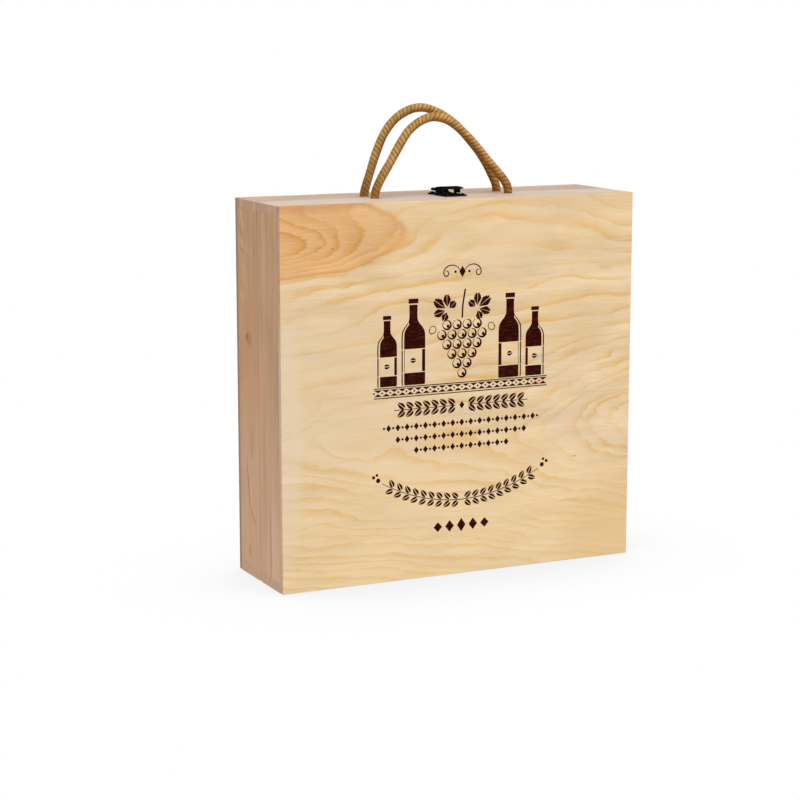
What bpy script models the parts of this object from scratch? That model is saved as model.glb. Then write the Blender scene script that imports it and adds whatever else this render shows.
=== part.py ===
"""Hinged pine gift box for four bottles, with rope handles and a draw latch on its top.

The box is two equal half shells that meet in a seam at half its depth. It stands on its bottom, as it is
carried: +X is right, -Y is the front and +Z is up. The origin is on the floor, in the seam, under the middle
of the box. The front half swings on two butt hinges at the bottom of the seam. All sizes are in metres.
"""
import math

import bmesh
import bpy
from mathutils import Matrix, Vector

# Fits between pieces
GLUE_GAP = 0.0003
SEAM_GAP = 0.0004
RUNNING_GAP = 0.0003
OVERRUN = 0.002
WELD_DISTANCE = 0.00001
ROUND_STEPS = 24

# Bottles that the box is made for
BOTTLE_COUNT = 4
BOTTLE_RADIUS = 0.038
BOTTLE_HEIGHT = 0.320
BOTTLE_HEADROOM = 0.007
NECK_RADIUS = 0.015
NOTCH_CLEARANCE = 0.0015

# Boards
BOARD_THICKNESS = 0.009
PANEL_THICKNESS = 0.0055
EDGE_ROUND = 0.0006

# Notched rests that carry the bottles
REST_THICKNESS = 0.012
REST_TOOTH = 0.0051
REST_FLOOR = 0.0072
REST_SETBACK = 0.001
BASE_REST_RISE = 0.060
NECK_REST_RISE = 0.245

# Butt hinges, let in at the bottom of the seam
HINGE_SPREAD = 0.100
HINGE_LENGTH = 0.030
LEAF_WIDTH = 0.016
LEAF_THICKNESS = 0.001
LEAF_INSET = 0.0002
BARREL_RADIUS = 0.0016
BARREL_DROP = 0.0001
BARREL_CLEARANCE = 0.0007
PIN_RADIUS = 0.0007
LID_OPENING = math.radians(120)
HINGE_SCREW_REACH = 0.0105
HINGE_SCREW_INSET = 0.005

# Screws
SHANK_RADIUS = 0.001
TIP_LENGTH = 0.0012
SINK_HEAD_RADIUS = 0.0019
SINK_HEAD_HEIGHT = 0.0009
SINK_SCREW_LENGTH = 0.0065
PAN_HEAD_RADIUS = 0.002
PAN_HEAD_HEIGHT = 0.0011
PAN_SCREW_LENGTH = 0.0075
SLOT_WIDTH = 0.0006
SLOT_DEPTH = 0.0005

# Draw latch: plate, ears, lever and loop on the front half, catch on the back half
LATCH_SHIFT = 0.007
LATCH_SHEET = 0.001
LATCH_MARGIN = 0.0025
LATCH_CORNER = 0.0015
PLATE_LENGTH = 0.0235
PLATE_SETBACK = 0.0025
PIVOT_HEIGHT = 0.0048
PIVOT_SETBACK = 0.007
PIVOT_BOSS = 0.0029
EAR_BOSS = 0.0018
RIVET_RADIUS = 0.0008
LEVER_WIDTH = 0.0175
LEVER_RISE = 0.0074
LEVER_FLAT = 0.0075
LEVER_LIP_REACH = 0.0055
LEVER_LIP_FALL = 0.0007
FLANGE_DROP = 0.0027
LOOP_WIRE_RADIUS = 0.0011
LOOP_SWING = 0.004
LOOP_CORNER = 0.0022
CATCH_LENGTH = 0.009
CATCH_TAB_WIDTH = 0.013
CATCH_TAB_HEIGHT = 0.0057
CATCH_TAB_SETBACK = 0.0007
LATCH_SCREW_INSET = 0.0035

# Rope handles
ROPE_RADIUS = 0.0039
ROPE_SPREAD = 0.0675
ROPE_SETBACK = 0.0115
ROPE_POINT_SPACING = 0.014
ROPE_SIDES_RESOLUTION = 3
KNOT_RADIUS = 0.0095
KNOT_HEIGHT = 0.018
BACK_ROPE_LEAN = math.radians(12)
FRONT_ROPE_LEAN = math.radians(4)

# Routes of the two arches between their holes: across the box, and up along the arch's own plane
BACK_ROPE_ROUTE = [
    (-0.0602, 0.0179), (-0.0524, 0.0355), (-0.0429, 0.0523), (-0.0310, 0.0652), (-0.0168, 0.0732),
    (-0.0028, 0.0757), (0.0111, 0.0721), (0.0240, 0.0647), (0.0358, 0.0543), (0.0497, 0.0375),
    (0.0578, 0.0245), (0.0638, 0.0118),
]
FRONT_ROPE_ROUTE = [
    (-0.0618, 0.0123), (-0.0515, 0.0277), (-0.0415, 0.0433), (-0.0321, 0.0554), (-0.0199, 0.0638),
    (-0.0075, 0.0672), (0.0049, 0.0649), (0.0172, 0.0575), (0.0322, 0.0438), (0.0460, 0.0279),
    (0.0578, 0.0149), (0.0638, 0.0078),
]

# Sizes worked out from the ones above
BASE_NOTCH_RADIUS = BOTTLE_RADIUS + NOTCH_CLEARANCE
NECK_NOTCH_RADIUS = NECK_RADIUS + NOTCH_CLEARANCE
BAY_PITCH = 2 * BASE_NOTCH_RADIUS + REST_TOOTH
INNER_HALF_WIDTH = BOTTLE_COUNT * BAY_PITCH / 2 + GLUE_GAP
HALF_WIDTH = INNER_HALF_WIDTH + BOARD_THICKNESS
HALF_DEPTH = BASE_NOTCH_RADIUS + REST_FLOOR + GLUE_GAP + PANEL_THICKNESS
BOX_HEIGHT = BOTTLE_HEIGHT + BOTTLE_HEADROOM + 2 * BOARD_THICKNESS
SEAM_EDGE = SEAM_GAP / 2
FRAME_EDGE = HALF_DEPTH - PANEL_THICKNESS - GLUE_GAP
INNER_TOP = BOX_HEIGHT - BOARD_THICKNESS
HINGE_AXIS_Z = BARREL_RADIUS + BARREL_DROP
HINGE_SCREW_SPREAD = HINGE_LENGTH / 2 - HINGE_SCREW_INSET
SEAM_CHAMFER = HINGE_AXIS_Z * math.tan(LID_OPENING / 2) + RUNNING_GAP
SEAM_CHAMFER_TOP = HINGE_AXIS_Z + RUNNING_GAP
LEAF_NOTCH = (HINGE_AXIS_Z - LEAF_INSET) * math.tan(LID_OPENING / 2) + 2 * RUNNING_GAP
LATCH_FLOOR = BOX_HEIGHT + GLUE_GAP
LATCH_WIDTH = LEVER_WIDTH + 2 * LATCH_MARGIN
PIVOT_Z = LATCH_FLOOR + PIVOT_HEIGHT
PIVOT_Y = -(PLATE_SETBACK + PIVOT_SETBACK)
LOOP_PIVOT_Y = PIVOT_Y - LOOP_SWING
FLANGE_X = LEVER_WIDTH / 2 - LATCH_SHEET / 2
EAR_X = LEVER_WIDTH / 2 - LATCH_SHEET - RUNNING_GAP - LATCH_SHEET / 2
LOOP_X = LEVER_WIDTH / 2 + RUNNING_GAP + LOOP_WIRE_RADIUS
CATCH_TAB_Y = PLATE_SETBACK + CATCH_TAB_SETBACK
LOOP_BAR_Y = CATCH_TAB_Y + LATCH_SHEET + RUNNING_GAP + LOOP_WIRE_RADIUS
ROPE_HOLE_RADIUS = ROPE_RADIUS + GLUE_GAP
ROPE_PIVOT_Z = BOX_HEIGHT + ROPE_RADIUS + RUNNING_GAP

# Directions: the halves are mirror images across the seam
BACK = 1
FRONT = -1
ALONG_X = Matrix.Rotation(math.pi / 2, 4, "Y")
SIDE_VIEW = Matrix(((0, 0, 1, 0), (1, 0, 0, 0), (0, 1, 0, 0), (0, 0, 0, 1)))
UPSIDE_DOWN = Matrix.Rotation(math.pi, 4, "X")


# Scene and materials
def clear_scene():
    for obj in list(bpy.data.objects):
        bpy.data.objects.remove(obj, do_unlink=True)


def new_collection(name):
    collection = bpy.data.collections.new(name)
    bpy.context.scene.collection.children.link(collection)
    return collection


def finish(name, colour, roughness, metallic=0.0):
    material = bpy.data.materials.new(name)
    material.use_nodes = True
    shader = material.node_tree.nodes["Principled BSDF"]
    shader.inputs["Base Color"].default_value = (*colour, 1.0)
    shader.inputs["Roughness"].default_value = roughness
    shader.inputs["Metallic"].default_value = metallic
    return material


clear_scene()
PARTS = new_collection("bottle_gift_box")
CUTTERS = new_collection("cutters")
PANEL_PINE = finish("panel_pine", (0.76, 0.57, 0.32), 0.6)
BOARD_PINE = finish("board_pine", (0.50, 0.31, 0.19), 0.65)
REST_PINE = finish("rest_pine", (0.70, 0.50, 0.28), 0.7)
HINGE_STEEL = finish("hinge_steel", (0.62, 0.58, 0.48), 0.4, 1.0)
LATCH_BLACK = finish("latch_black", (0.02, 0.02, 0.022), 0.35, 0.5)
ROPE_FIBRE = finish("rope_fibre", (0.42, 0.22, 0.06), 0.85)


# Shapes
def settle(obj, name, material, collection=PARTS):
    """Name an object, move it to its collection and give it its material."""
    obj.name = name
    obj.data.name = name
    for owner in list(obj.users_collection):
        owner.objects.unlink(obj)
    collection.objects.link(obj)
    if material:
        obj.data.materials.clear()
        obj.data.materials.append(material)
    return obj


def block(name, low, high, material=None):
    low, high = Vector(low), Vector(high)
    bpy.ops.mesh.primitive_cube_add(size=1.0, location=(low + high) / 2)
    obj = bpy.context.active_object
    obj.scale = high - low
    bpy.ops.object.transform_apply(location=False, rotation=False, scale=True)
    return settle(obj, name, material)


def rod(name, radius, length, place, material=None, sides=ROUND_STEPS):
    """A cylinder along the Z axis of its place, centred there."""
    bpy.ops.mesh.primitive_cylinder_add(vertices=sides, radius=radius, depth=length)
    obj = bpy.context.active_object
    obj.matrix_world = place
    obj.data.shade_smooth()
    obj.data.set_sharp_from_angle(angle=math.radians(40))
    return settle(obj, name, material)


def turned(name, profile, place, material=None, sides=16):
    """Turn a profile of (radius, height) points, listed from top to bottom, round its place's Z axis."""
    mesh = bpy.data.meshes.new(name)
    edges = [(i, i + 1) for i in range(len(profile) - 1)]
    mesh.from_pydata([(r, 0.0, z) for r, z in profile], edges, [])
    obj = bpy.data.objects.new(name, mesh)
    bpy.context.scene.collection.objects.link(obj)
    obj.matrix_world = place
    screw = obj.modifiers.new("turn", "SCREW")
    screw.axis = "Z"
    screw.steps = sides
    screw.render_steps = sides
    screw.use_merge_vertices = True
    screw.merge_threshold = WELD_DISTANCE
    screw.use_smooth_shade = False
    return settle(obj, name, material)


def mesh_from_curve(curve_obj, name, material):
    """Replace a curve by its mesh with welded caps."""
    bpy.context.view_layer.update()
    shape = curve_obj.evaluated_get(bpy.context.evaluated_depsgraph_get())
    mesh = bpy.data.meshes.new_from_object(shape)
    work = bmesh.new()
    work.from_mesh(mesh)
    bmesh.ops.remove_doubles(work, verts=work.verts, dist=WELD_DISTANCE)
    bmesh.ops.recalc_face_normals(work, faces=work.faces)
    work.to_mesh(mesh)
    work.free()
    obj = bpy.data.objects.new(name, mesh)
    obj.matrix_world = curve_obj.matrix_world
    bpy.context.scene.collection.objects.link(obj)
    bpy.data.objects.remove(curve_obj, do_unlink=True)
    return settle(obj, name, material)


def outline(name, points, thickness, place, material=None):
    """A flat outline in its place's XY plane, with half its thickness to either side."""
    curve = bpy.data.curves.new(name, "CURVE")
    curve.dimensions = "2D"
    curve.fill_mode = "BOTH"
    curve.extrude = thickness / 2
    spline = curve.splines.new("POLY")
    spline.points.add(len(points) - 1)
    for target, (x, y) in zip(spline.points, points):
        target.co = (x, y, 0.0, 1.0)
    spline.use_cyclic_u = True
    obj = bpy.data.objects.new(name, curve)
    bpy.context.scene.collection.objects.link(obj)
    obj.matrix_world = place
    return mesh_from_curve(obj, name, material)


def tube(name, points, radius, resolution, material=None):
    """A round tube along a list of points, with flat ends."""
    curve = bpy.data.curves.new(name, "CURVE")
    curve.dimensions = "3D"
    curve.bevel_depth = radius
    curve.bevel_resolution = resolution
    curve.use_fill_caps = True
    spline = curve.splines.new("POLY")
    spline.points.add(len(points) - 1)
    for target, point in zip(spline.points, points):
        target.co = (*point, 1.0)
    obj = bpy.data.objects.new(name, curve)
    bpy.context.scene.collection.objects.link(obj)
    return mesh_from_curve(obj, name, material)


def hide_tool(obj):
    settle(obj, obj.name, None, CUTTERS)
    obj.hide_render = True
    obj.display_type = "WIRE"


def boolean(target, tool, operation):
    hide_tool(tool)
    modifier = target.modifiers.new(tool.name, "BOOLEAN")
    modifier.operation = operation
    modifier.object = tool
    return target


def cut(target, tool):
    return boolean(target, tool, "DIFFERENCE")


def join(target, tool):
    return boolean(target, tool, "UNION")


def round_edges(obj, width=EDGE_ROUND, segments=2):
    bevel = obj.modifiers.new("rounded edges", "BEVEL")
    bevel.width = width
    bevel.segments = segments
    bevel.limit_method = "ANGLE"
    return obj


def arc(centre, radius, start, end, steps=ROUND_STEPS // 2):
    """Points along a circle's arc, both ends included."""
    turn = (end - start) / steps
    return [
        (centre[0] + radius * math.cos(start + turn * i), centre[1] + radius * math.sin(start + turn * i))
        for i in range(steps + 1)
    ]


def rounded_rectangle(low, high, radius, steps=4):
    corners = [
        ((high[0] - radius, high[1] - radius), 0.0),
        ((low[0] + radius, high[1] - radius), math.pi / 2),
        ((low[0] + radius, low[1] + radius), math.pi),
        ((high[0] - radius, low[1] + radius), 3 * math.pi / 2),
    ]
    points = []
    for centre, start in corners:
        points += arc(centre, radius, start, start + math.pi / 2, steps)
    return points


def strip(points, thickness):
    """The outline of a bent sheet whose middle line goes through the points."""
    upper, lower = [], []
    for i, point in enumerate(points):
        before = Vector(points[max(i - 1, 0)])
        after = Vector(points[min(i + 1, len(points) - 1)])
        along = (after - before).normalized()
        across = Vector((-along.y, along.x)) * thickness / 2
        upper.append(tuple(Vector(point) + across))
        lower.append(tuple(Vector(point) - across))
    return upper + lower[::-1]


def smooth_route(points, spacing):
    """Points at an even spacing along a smooth curve through the route."""
    ends = [2 * points[0] - points[1]] + points + [2 * points[-1] - points[-2]]
    fine = []
    share_steps = 12
    for i in range(1, len(ends) - 2):
        p0, p1, p2, p3 = ends[i - 1:i + 3]
        for step in range(share_steps):
            t = step / share_steps
            fine.append(0.5 * (
                2 * p1 + (p2 - p0) * t + (2 * p0 - 5 * p1 + 4 * p2 - p3) * t ** 2
                + (3 * p1 - p0 - 3 * p2 + p3) * t ** 3
            ))
    fine.append(points[-1])
    reach = [0.0]
    for a, b in zip(fine, fine[1:]):
        reach.append(reach[-1] + (b - a).length)
    count = max(2, round(reach[-1] / spacing))
    even = []
    k = 0
    for i in range(count + 1):
        goal = reach[-1] * i / count
        while k < len(reach) - 2 and reach[k + 1] < goal:
            k += 1
        part = (goal - reach[k]) / max(reach[k + 1] - reach[k], 1e-12)
        even.append(fine[k].lerp(fine[k + 1], part))
    return even, reach[-1]


def across(side, near, far):
    """The Y range of a piece that lies between two distances from the seam, on one side of it."""
    return sorted((side * near, side * far))


# Screws
def sink_profile(gap=0.0, rise=0.0):
    length = SINK_SCREW_LENGTH + gap
    points = [(0.0, rise), (SINK_HEAD_RADIUS + gap, rise)]
    if rise:
        points.append((SINK_HEAD_RADIUS + gap, 0.0))
    points += [
        (SHANK_RADIUS + gap, -SINK_HEAD_HEIGHT),
        (SHANK_RADIUS + gap, -length + TIP_LENGTH),
        (0.0, -length),
    ]
    return points


def pan_profile():
    shoulder_share, crown_share = 0.45, 0.75
    return [
        (0.0, PAN_HEAD_HEIGHT),
        (PAN_HEAD_RADIUS * crown_share, PAN_HEAD_HEIGHT * crown_share),
        (PAN_HEAD_RADIUS, PAN_HEAD_HEIGHT * shoulder_share),
        (PAN_HEAD_RADIUS, 0.0),
        (SHANK_RADIUS, 0.0),
        (SHANK_RADIUS, -PAN_SCREW_LENGTH + TIP_LENGTH),
        (0.0, -PAN_SCREW_LENGTH),
    ]


def slotted_screw(name, profile, head_radius, head_top, place, material):
    screw = turned(name, profile, place, material)
    reach = head_radius + OVERRUN
    slot = block(
        name + "_slot",
        (-reach, -SLOT_WIDTH / 2, head_top - SLOT_DEPTH),
        (reach, SLOT_WIDTH / 2, head_top + OVERRUN),
    )
    slot.matrix_world = place @ slot.matrix_world
    return cut(screw, slot)


def pan_screws(name, places):
    """Round-headed screws whose heads sit at their places, with the shanks going down."""
    for i, place in enumerate(places, 1):
        slotted_screw(f"{name}_{i}", pan_profile(), PAN_HEAD_RADIUS, PAN_HEAD_HEIGHT, place, LATCH_BLACK)


def shank_hole(name, place):
    return rod(name, SHANK_RADIUS + GLUE_GAP, 2 * (PAN_SCREW_LENGTH + GLUE_GAP), place, sides=16)


# Half shells
def make_rest(name, side, notch_radius, rise):
    """A bar across the half with a half-round notch for each bottle, open to the seam."""
    low, high = -INNER_HALF_WIDTH + GLUE_GAP, INNER_HALF_WIDTH - GLUE_GAP
    far = FRAME_EDGE
    points = [(low, side * REST_SETBACK), (low, side * far), (high, side * far), (high, side * REST_SETBACK)]
    edge_angle = math.asin(REST_SETBACK / notch_radius)
    for bay in reversed(range(BOTTLE_COUNT)):
        middle = (bay - (BOTTLE_COUNT - 1) / 2) * BAY_PITCH
        notch = arc((middle, 0.0), notch_radius, edge_angle, math.pi - edge_angle, ROUND_STEPS)
        points += [(x, side * y) for x, y in notch]
    height = BOARD_THICKNESS + rise
    return outline(name, points, REST_THICKNESS, Matrix.Translation((0, 0, height)), REST_PINE)


def make_bottom_board(name, side):
    """The bottom board, chamfered along the seam so that the halves can swing apart."""
    points = [
        (side * SEAM_EDGE, BOARD_THICKNESS),
        (side * SEAM_EDGE, SEAM_CHAMFER_TOP),
        (side * SEAM_CHAMFER, 0.0),
        (side * FRAME_EDGE, 0.0),
        (side * FRAME_EDGE, BOARD_THICKNESS),
    ]
    board = outline(name, points, 2 * HALF_WIDTH, SIDE_VIEW, BOARD_PINE)
    for hinge_side in (-1, 1):
        x = hinge_side * HINGE_SPREAD
        half = HINGE_LENGTH / 2 + GLUE_GAP
        near, far = across(side, -OVERRUN, LEAF_WIDTH + GLUE_GAP)
        leaf_bed = LEAF_INSET + LEAF_THICKNESS + GLUE_GAP
        cut(board, block(f"{name}_leaf_bed", (x - half, near, -OVERRUN), (x + half, far, leaf_bed)))
        barrel_place = Matrix.Translation((x, 0, HINGE_AXIS_Z)) @ ALONG_X
        cut(board, rod(f"{name}_barrel_bed", BARREL_RADIUS + BARREL_CLEARANCE, 2 * half, barrel_place))
        for i, place in enumerate(hinge_screw_places(side, x)):
            cut(board, turned(f"{name}_screw_bed_{i}", sink_profile(GLUE_GAP, OVERRUN), place))
    return board


def make_top_board(name, side):
    """The top board, with a hole for each rope end and for the latch screws."""
    near, far = across(side, SEAM_EDGE, FRAME_EDGE)
    board = block(name, (-HALF_WIDTH, near, INNER_TOP), (HALF_WIDTH, far, BOX_HEIGHT), BOARD_PINE)
    round_edges(board)
    for i, x in enumerate((-ROPE_SPREAD, ROPE_SPREAD)):
        place = Matrix.Translation((x, side * ROPE_SETBACK, BOX_HEIGHT))
        cut(board, rod(f"{name}_rope_hole_{i}", ROPE_HOLE_RADIUS, 4 * BOARD_THICKNESS, place))
    screw_places = latch_screw_places() if side == FRONT else catch_screw_places()
    for i, place in enumerate(screw_places):
        cut(board, shank_hole(f"{name}_screw_hole_{i}", place))
    return board


def make_half(name, side):
    near, far = across(side, HALF_DEPTH - PANEL_THICKNESS, HALF_DEPTH)
    panel = block(f"{name}_panel", (-HALF_WIDTH, near, 0.0), (HALF_WIDTH, far, BOX_HEIGHT), PANEL_PINE)
    round_edges(panel)
    make_top_board(f"{name}_top_board", side)
    make_bottom_board(f"{name}_bottom_board", side)
    near, far = across(side, SEAM_EDGE, FRAME_EDGE)
    bottom, top = BOARD_THICKNESS + GLUE_GAP, INNER_TOP - GLUE_GAP
    for end_name, end in (("left", -1), ("right", 1)):
        low_x, high_x = sorted((end * INNER_HALF_WIDTH, end * HALF_WIDTH))
        board = block(f"{name}_{end_name}_board", (low_x, near, bottom), (high_x, far, top), BOARD_PINE)
        round_edges(board)
    make_rest(f"{name}_base_rest", side, BASE_NOTCH_RADIUS, BASE_REST_RISE)
    make_rest(f"{name}_neck_rest", side, NECK_NOTCH_RADIUS, NECK_REST_RISE)


# Hinges
def hinge_screw_places(side, x):
    return [
        Matrix.Translation((x + offset, side * HINGE_SCREW_REACH, LEAF_INSET)) @ UPSIDE_DOWN
        for offset in (-HINGE_SCREW_SPREAD, HINGE_SCREW_SPREAD)
    ]


def make_leaf(name, side, x, knuckles):
    """A leaf with its knuckles round the pin, cut back where the other leaf's knuckles turn."""
    half = HINGE_LENGTH / 2
    near, far = across(side, 0.0, LEAF_WIDTH)
    top = LEAF_INSET + LEAF_THICKNESS
    leaf = block(name, (x - half, near, LEAF_INSET), (x + half, far, top), HINGE_STEEL)
    third = HINGE_LENGTH / 3
    for i in range(3):
        low, high = x - half + i * third, x - half + (i + 1) * third
        if i in knuckles:
            low_gap = RUNNING_GAP / 2 if i > 0 else 0.0
            high_gap = RUNNING_GAP / 2 if i < 2 else 0.0
            length = high - low - low_gap - high_gap
            middle = (low + low_gap + high - high_gap) / 2
            place = Matrix.Translation((middle, 0, HINGE_AXIS_Z)) @ ALONG_X
            join(leaf, rod(f"{name}_knuckle_{i}", BARREL_RADIUS, length, place))
        else:
            low_gap = RUNNING_GAP / 2 if i > 0 else OVERRUN
            high_gap = RUNNING_GAP / 2 if i < 2 else OVERRUN
            notch_near, notch_far = across(side, -OVERRUN, LEAF_NOTCH)
            cut(leaf, block(
                f"{name}_notch_{i}",
                (low - low_gap, notch_near, LEAF_INSET - OVERRUN),
                (high + high_gap, notch_far, top + OVERRUN),
            ))
    bore_place = Matrix.Translation((x, 0, HINGE_AXIS_Z)) @ ALONG_X
    cut(leaf, rod(f"{name}_bore", PIN_RADIUS + RUNNING_GAP, HINGE_LENGTH + OVERRUN, bore_place, sides=16))
    for i, place in enumerate(hinge_screw_places(side, x)):
        cut(leaf, turned(f"{name}_screw_hole_{i}", sink_profile(GLUE_GAP, OVERRUN), place))
    return leaf


def make_hinges():
    for name, x in (("left_hinge", -HINGE_SPREAD), ("right_hinge", HINGE_SPREAD)):
        make_leaf(f"{name}_back_leaf", BACK, x, (0, 2))
        make_leaf(f"{name}_front_leaf", FRONT, x, (1,))
        place = Matrix.Translation((x, 0, HINGE_AXIS_Z)) @ ALONG_X
        rod(f"{name}_pin", PIN_RADIUS, HINGE_LENGTH, place, HINGE_STEEL, sides=12)
        for half_name, side in (("back", BACK), ("front", FRONT)):
            for i, place in enumerate(hinge_screw_places(side, x), 1):
                screw_name = f"{name}_{half_name}_screw_{i}"
                slotted_screw(screw_name, sink_profile(), SINK_HEAD_RADIUS, 0.0, place, HINGE_STEEL)


# Latch
def plate_screw_places(y):
    spread = LATCH_WIDTH / 2 - LATCH_SCREW_INSET
    height = LATCH_FLOOR + LATCH_SHEET + GLUE_GAP
    return [Matrix.Translation((LATCH_SHIFT + end * spread, y, height)) for end in (-1, 1)]


def latch_screw_places():
    return plate_screw_places(-(PLATE_SETBACK + PLATE_LENGTH - LATCH_SCREW_INSET))


def catch_screw_places():
    return plate_screw_places(PLATE_SETBACK + CATCH_LENGTH - LATCH_SCREW_INSET)


def side_outline(name, points, width, x, material=None):
    """An outline of (Y, Z) points, with its width along X and its middle at x."""
    return outline(name, points, width, Matrix.Translation((x, 0, 0)) @ SIDE_VIEW, material)


def sheet_plate(name, low_y, high_y, material):
    low = (LATCH_SHIFT - LATCH_WIDTH / 2, low_y)
    high = (LATCH_SHIFT + LATCH_WIDTH / 2, high_y)
    place = Matrix.Translation((0, 0, LATCH_FLOOR + LATCH_SHEET / 2))
    return outline(name, rounded_rectangle(low, high, LATCH_CORNER), LATCH_SHEET, place, material)


def make_base_plate():
    """The plate under the lever, with two ears that carry the lever's rivets."""
    plate = sheet_plate("latch_base_plate", -(PLATE_SETBACK + PLATE_LENGTH), -PLATE_SETBACK, LATCH_BLACK)
    for i, end in enumerate((-1, 1)):
        boss = arc((PIVOT_Y, PIVOT_Z), EAR_BOSS, 0.0, math.pi)
        foot = LATCH_FLOOR + LATCH_SHEET / 2
        points = [(PIVOT_Y + EAR_BOSS, foot)] + boss + [(PIVOT_Y - EAR_BOSS, foot)]
        x = LATCH_SHIFT + end * EAR_X
        ear = side_outline(f"latch_ear_{i}", points, LATCH_SHEET, x)
        join(plate, ear)
        hole_place = Matrix.Translation((x, PIVOT_Y, PIVOT_Z)) @ ALONG_X
        hole = rod(f"latch_ear_hole_{i}", RIVET_RADIUS + RUNNING_GAP, 2 * LATCH_SHEET, hole_place, sides=16)
        cut(plate, hole)
    for i, place in enumerate(latch_screw_places()):
        cut(plate, shank_hole(f"latch_plate_screw_hole_{i}", place))
    return plate


def make_lever():
    """The lever: a sheet with a drooping lip, and two flanges that turn on the rivets."""
    rise = LATCH_FLOOR + LEVER_RISE
    front = PIVOT_Y - LEVER_FLAT
    lip_steps = 5
    lip_shares = [i / lip_steps for i in range(lip_steps + 1)]
    lip = [
        (front - LEVER_LIP_REACH * t, rise - LEVER_LIP_FALL * t * t)
        for t in lip_shares
    ]
    sheet = [(PIVOT_Y, rise)] + lip
    lever = side_outline("latch_lever", strip(sheet, LATCH_SHEET), LEVER_WIDTH, LATCH_SHIFT, LATCH_BLACK)
    flange_foot = PIVOT_Z - FLANGE_DROP
    heel = arc((PIVOT_Y, PIVOT_Z), PIVOT_BOSS, -math.pi / 2, math.pi / 3)
    flange = heel + [
        (PIVOT_Y, rise),
        (front, rise),
        (front, rise - LATCH_SHEET),
        (LOOP_PIVOT_Y - PIVOT_BOSS, flange_foot),
    ]
    for i, end in enumerate((-1, 1)):
        x = LATCH_SHIFT + end * FLANGE_X
        join(lever, side_outline(f"lever_flange_{i}", flange, LATCH_SHEET, x))
        for label, y, radius in (("rivet", PIVOT_Y, RIVET_RADIUS), ("loop", LOOP_PIVOT_Y, LOOP_WIRE_RADIUS)):
            place = Matrix.Translation((x, y, PIVOT_Z)) @ ALONG_X
            hole = rod(f"lever_{label}_hole_{i}", radius + RUNNING_GAP, 2 * LATCH_SHEET, place, sides=16)
            cut(lever, hole)
    return lever


def make_rivets():
    """Two short rivets, one through each ear and flange."""
    inner = EAR_X - LATCH_SHEET / 2
    outer = LEVER_WIDTH / 2
    for end_name, end in (("left", -1), ("right", 1)):
        x = LATCH_SHIFT + end * (inner + outer) / 2
        place = Matrix.Translation((x, PIVOT_Y, PIVOT_Z)) @ ALONG_X
        rod(f"latch_{end_name}_rivet", RIVET_RADIUS, outer - inner, place, LATCH_BLACK, sides=12)


def make_loop():
    """The wire loop: its ends turn in the lever's flanges and its bar lies behind the catch's tab."""
    inner_end = FLANGE_X - LATCH_SHEET / 2 + RUNNING_GAP
    corner = LOOP_CORNER
    half_path = [Vector((inner_end, LOOP_PIVOT_Y, PIVOT_Z))]
    turns = (
        ((LOOP_X - corner, LOOP_PIVOT_Y + corner), -math.pi / 2),
        ((LOOP_X - corner, LOOP_BAR_Y - corner), 0.0),
    )
    for centre, start in turns:
        half_path += [Vector((x, y, PIVOT_Z)) for x, y in arc(centre, corner, start, start + math.pi / 2, 4)]
    mirrored = [Vector((-p.x, p.y, p.z)) for p in reversed(half_path)]
    shift = Vector((LATCH_SHIFT, 0, 0))
    path = [p + shift for p in half_path + mirrored]
    return tube("latch_loop", path, LOOP_WIRE_RADIUS, 2, LATCH_BLACK)


def make_catch():
    """The catch on the back half: a plate with an upright tab."""
    catch = sheet_plate("latch_catch", PLATE_SETBACK, PLATE_SETBACK + CATCH_LENGTH, LATCH_BLACK)
    foot = LATCH_FLOOR + LATCH_SHEET / 2
    tab_low = (LATCH_SHIFT - CATCH_TAB_WIDTH / 2, foot)
    tab_high = (LATCH_SHIFT + CATCH_TAB_WIDTH / 2, LATCH_FLOOR + LATCH_SHEET + CATCH_TAB_HEIGHT)
    upright = Matrix.Rotation(math.pi / 2, 4, "X")
    place = Matrix.Translation((0, CATCH_TAB_Y + LATCH_SHEET / 2, 0)) @ upright
    corners = arc((tab_high[0] - LATCH_CORNER, tab_high[1] - LATCH_CORNER), LATCH_CORNER, 0.0, math.pi / 2, 4)
    corners += arc(
        (tab_low[0] + LATCH_CORNER, tab_high[1] - LATCH_CORNER), LATCH_CORNER, math.pi / 2, math.pi, 4
    )
    tab = outline("catch_tab", [tab_low, (tab_high[0], tab_low[1])] + corners, LATCH_SHEET, place)
    join(catch, tab)
    for i, screw_place in enumerate(catch_screw_places()):
        cut(catch, shank_hole(f"catch_screw_hole_{i}", screw_place))
    return catch


def make_latch():
    make_base_plate()
    make_lever()
    make_rivets()
    make_loop()
    make_catch()
    pan_screws("latch_base_screw", latch_screw_places())
    pan_screws("latch_catch_screw", catch_screw_places())


# Rope handles
def make_rope(name, side, route, lean):
    """The free arch of a rope handle, on ball ends that turn above its two holes."""
    pivot_y = side * ROPE_SETBACK
    ends = [(-ROPE_SPREAD, 0.0), (ROPE_SPREAD, 0.0)]
    points = [
        Vector((x, pivot_y + rise * math.sin(lean), ROPE_PIVOT_Z + rise * math.cos(lean)))
        for x, rise in ends[:1] + route + ends[1:]
    ]
    even, length = smooth_route(points, ROPE_POINT_SPACING)
    rope = tube(name, even, ROPE_RADIUS, ROPE_SIDES_RESOLUTION, ROPE_FIBRE)
    for i, point in enumerate((points[0], points[-1])):
        bpy.ops.mesh.primitive_uv_sphere_add(segments=16, ring_count=10, radius=ROPE_RADIUS, location=point)
        ball = settle(bpy.context.active_object, f"{name}_ball_{i}", None)
        join(rope, ball)
    print(f"{name}: the arch is {length * 1000:.0f} mm long between its holes")
    return rope


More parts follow.
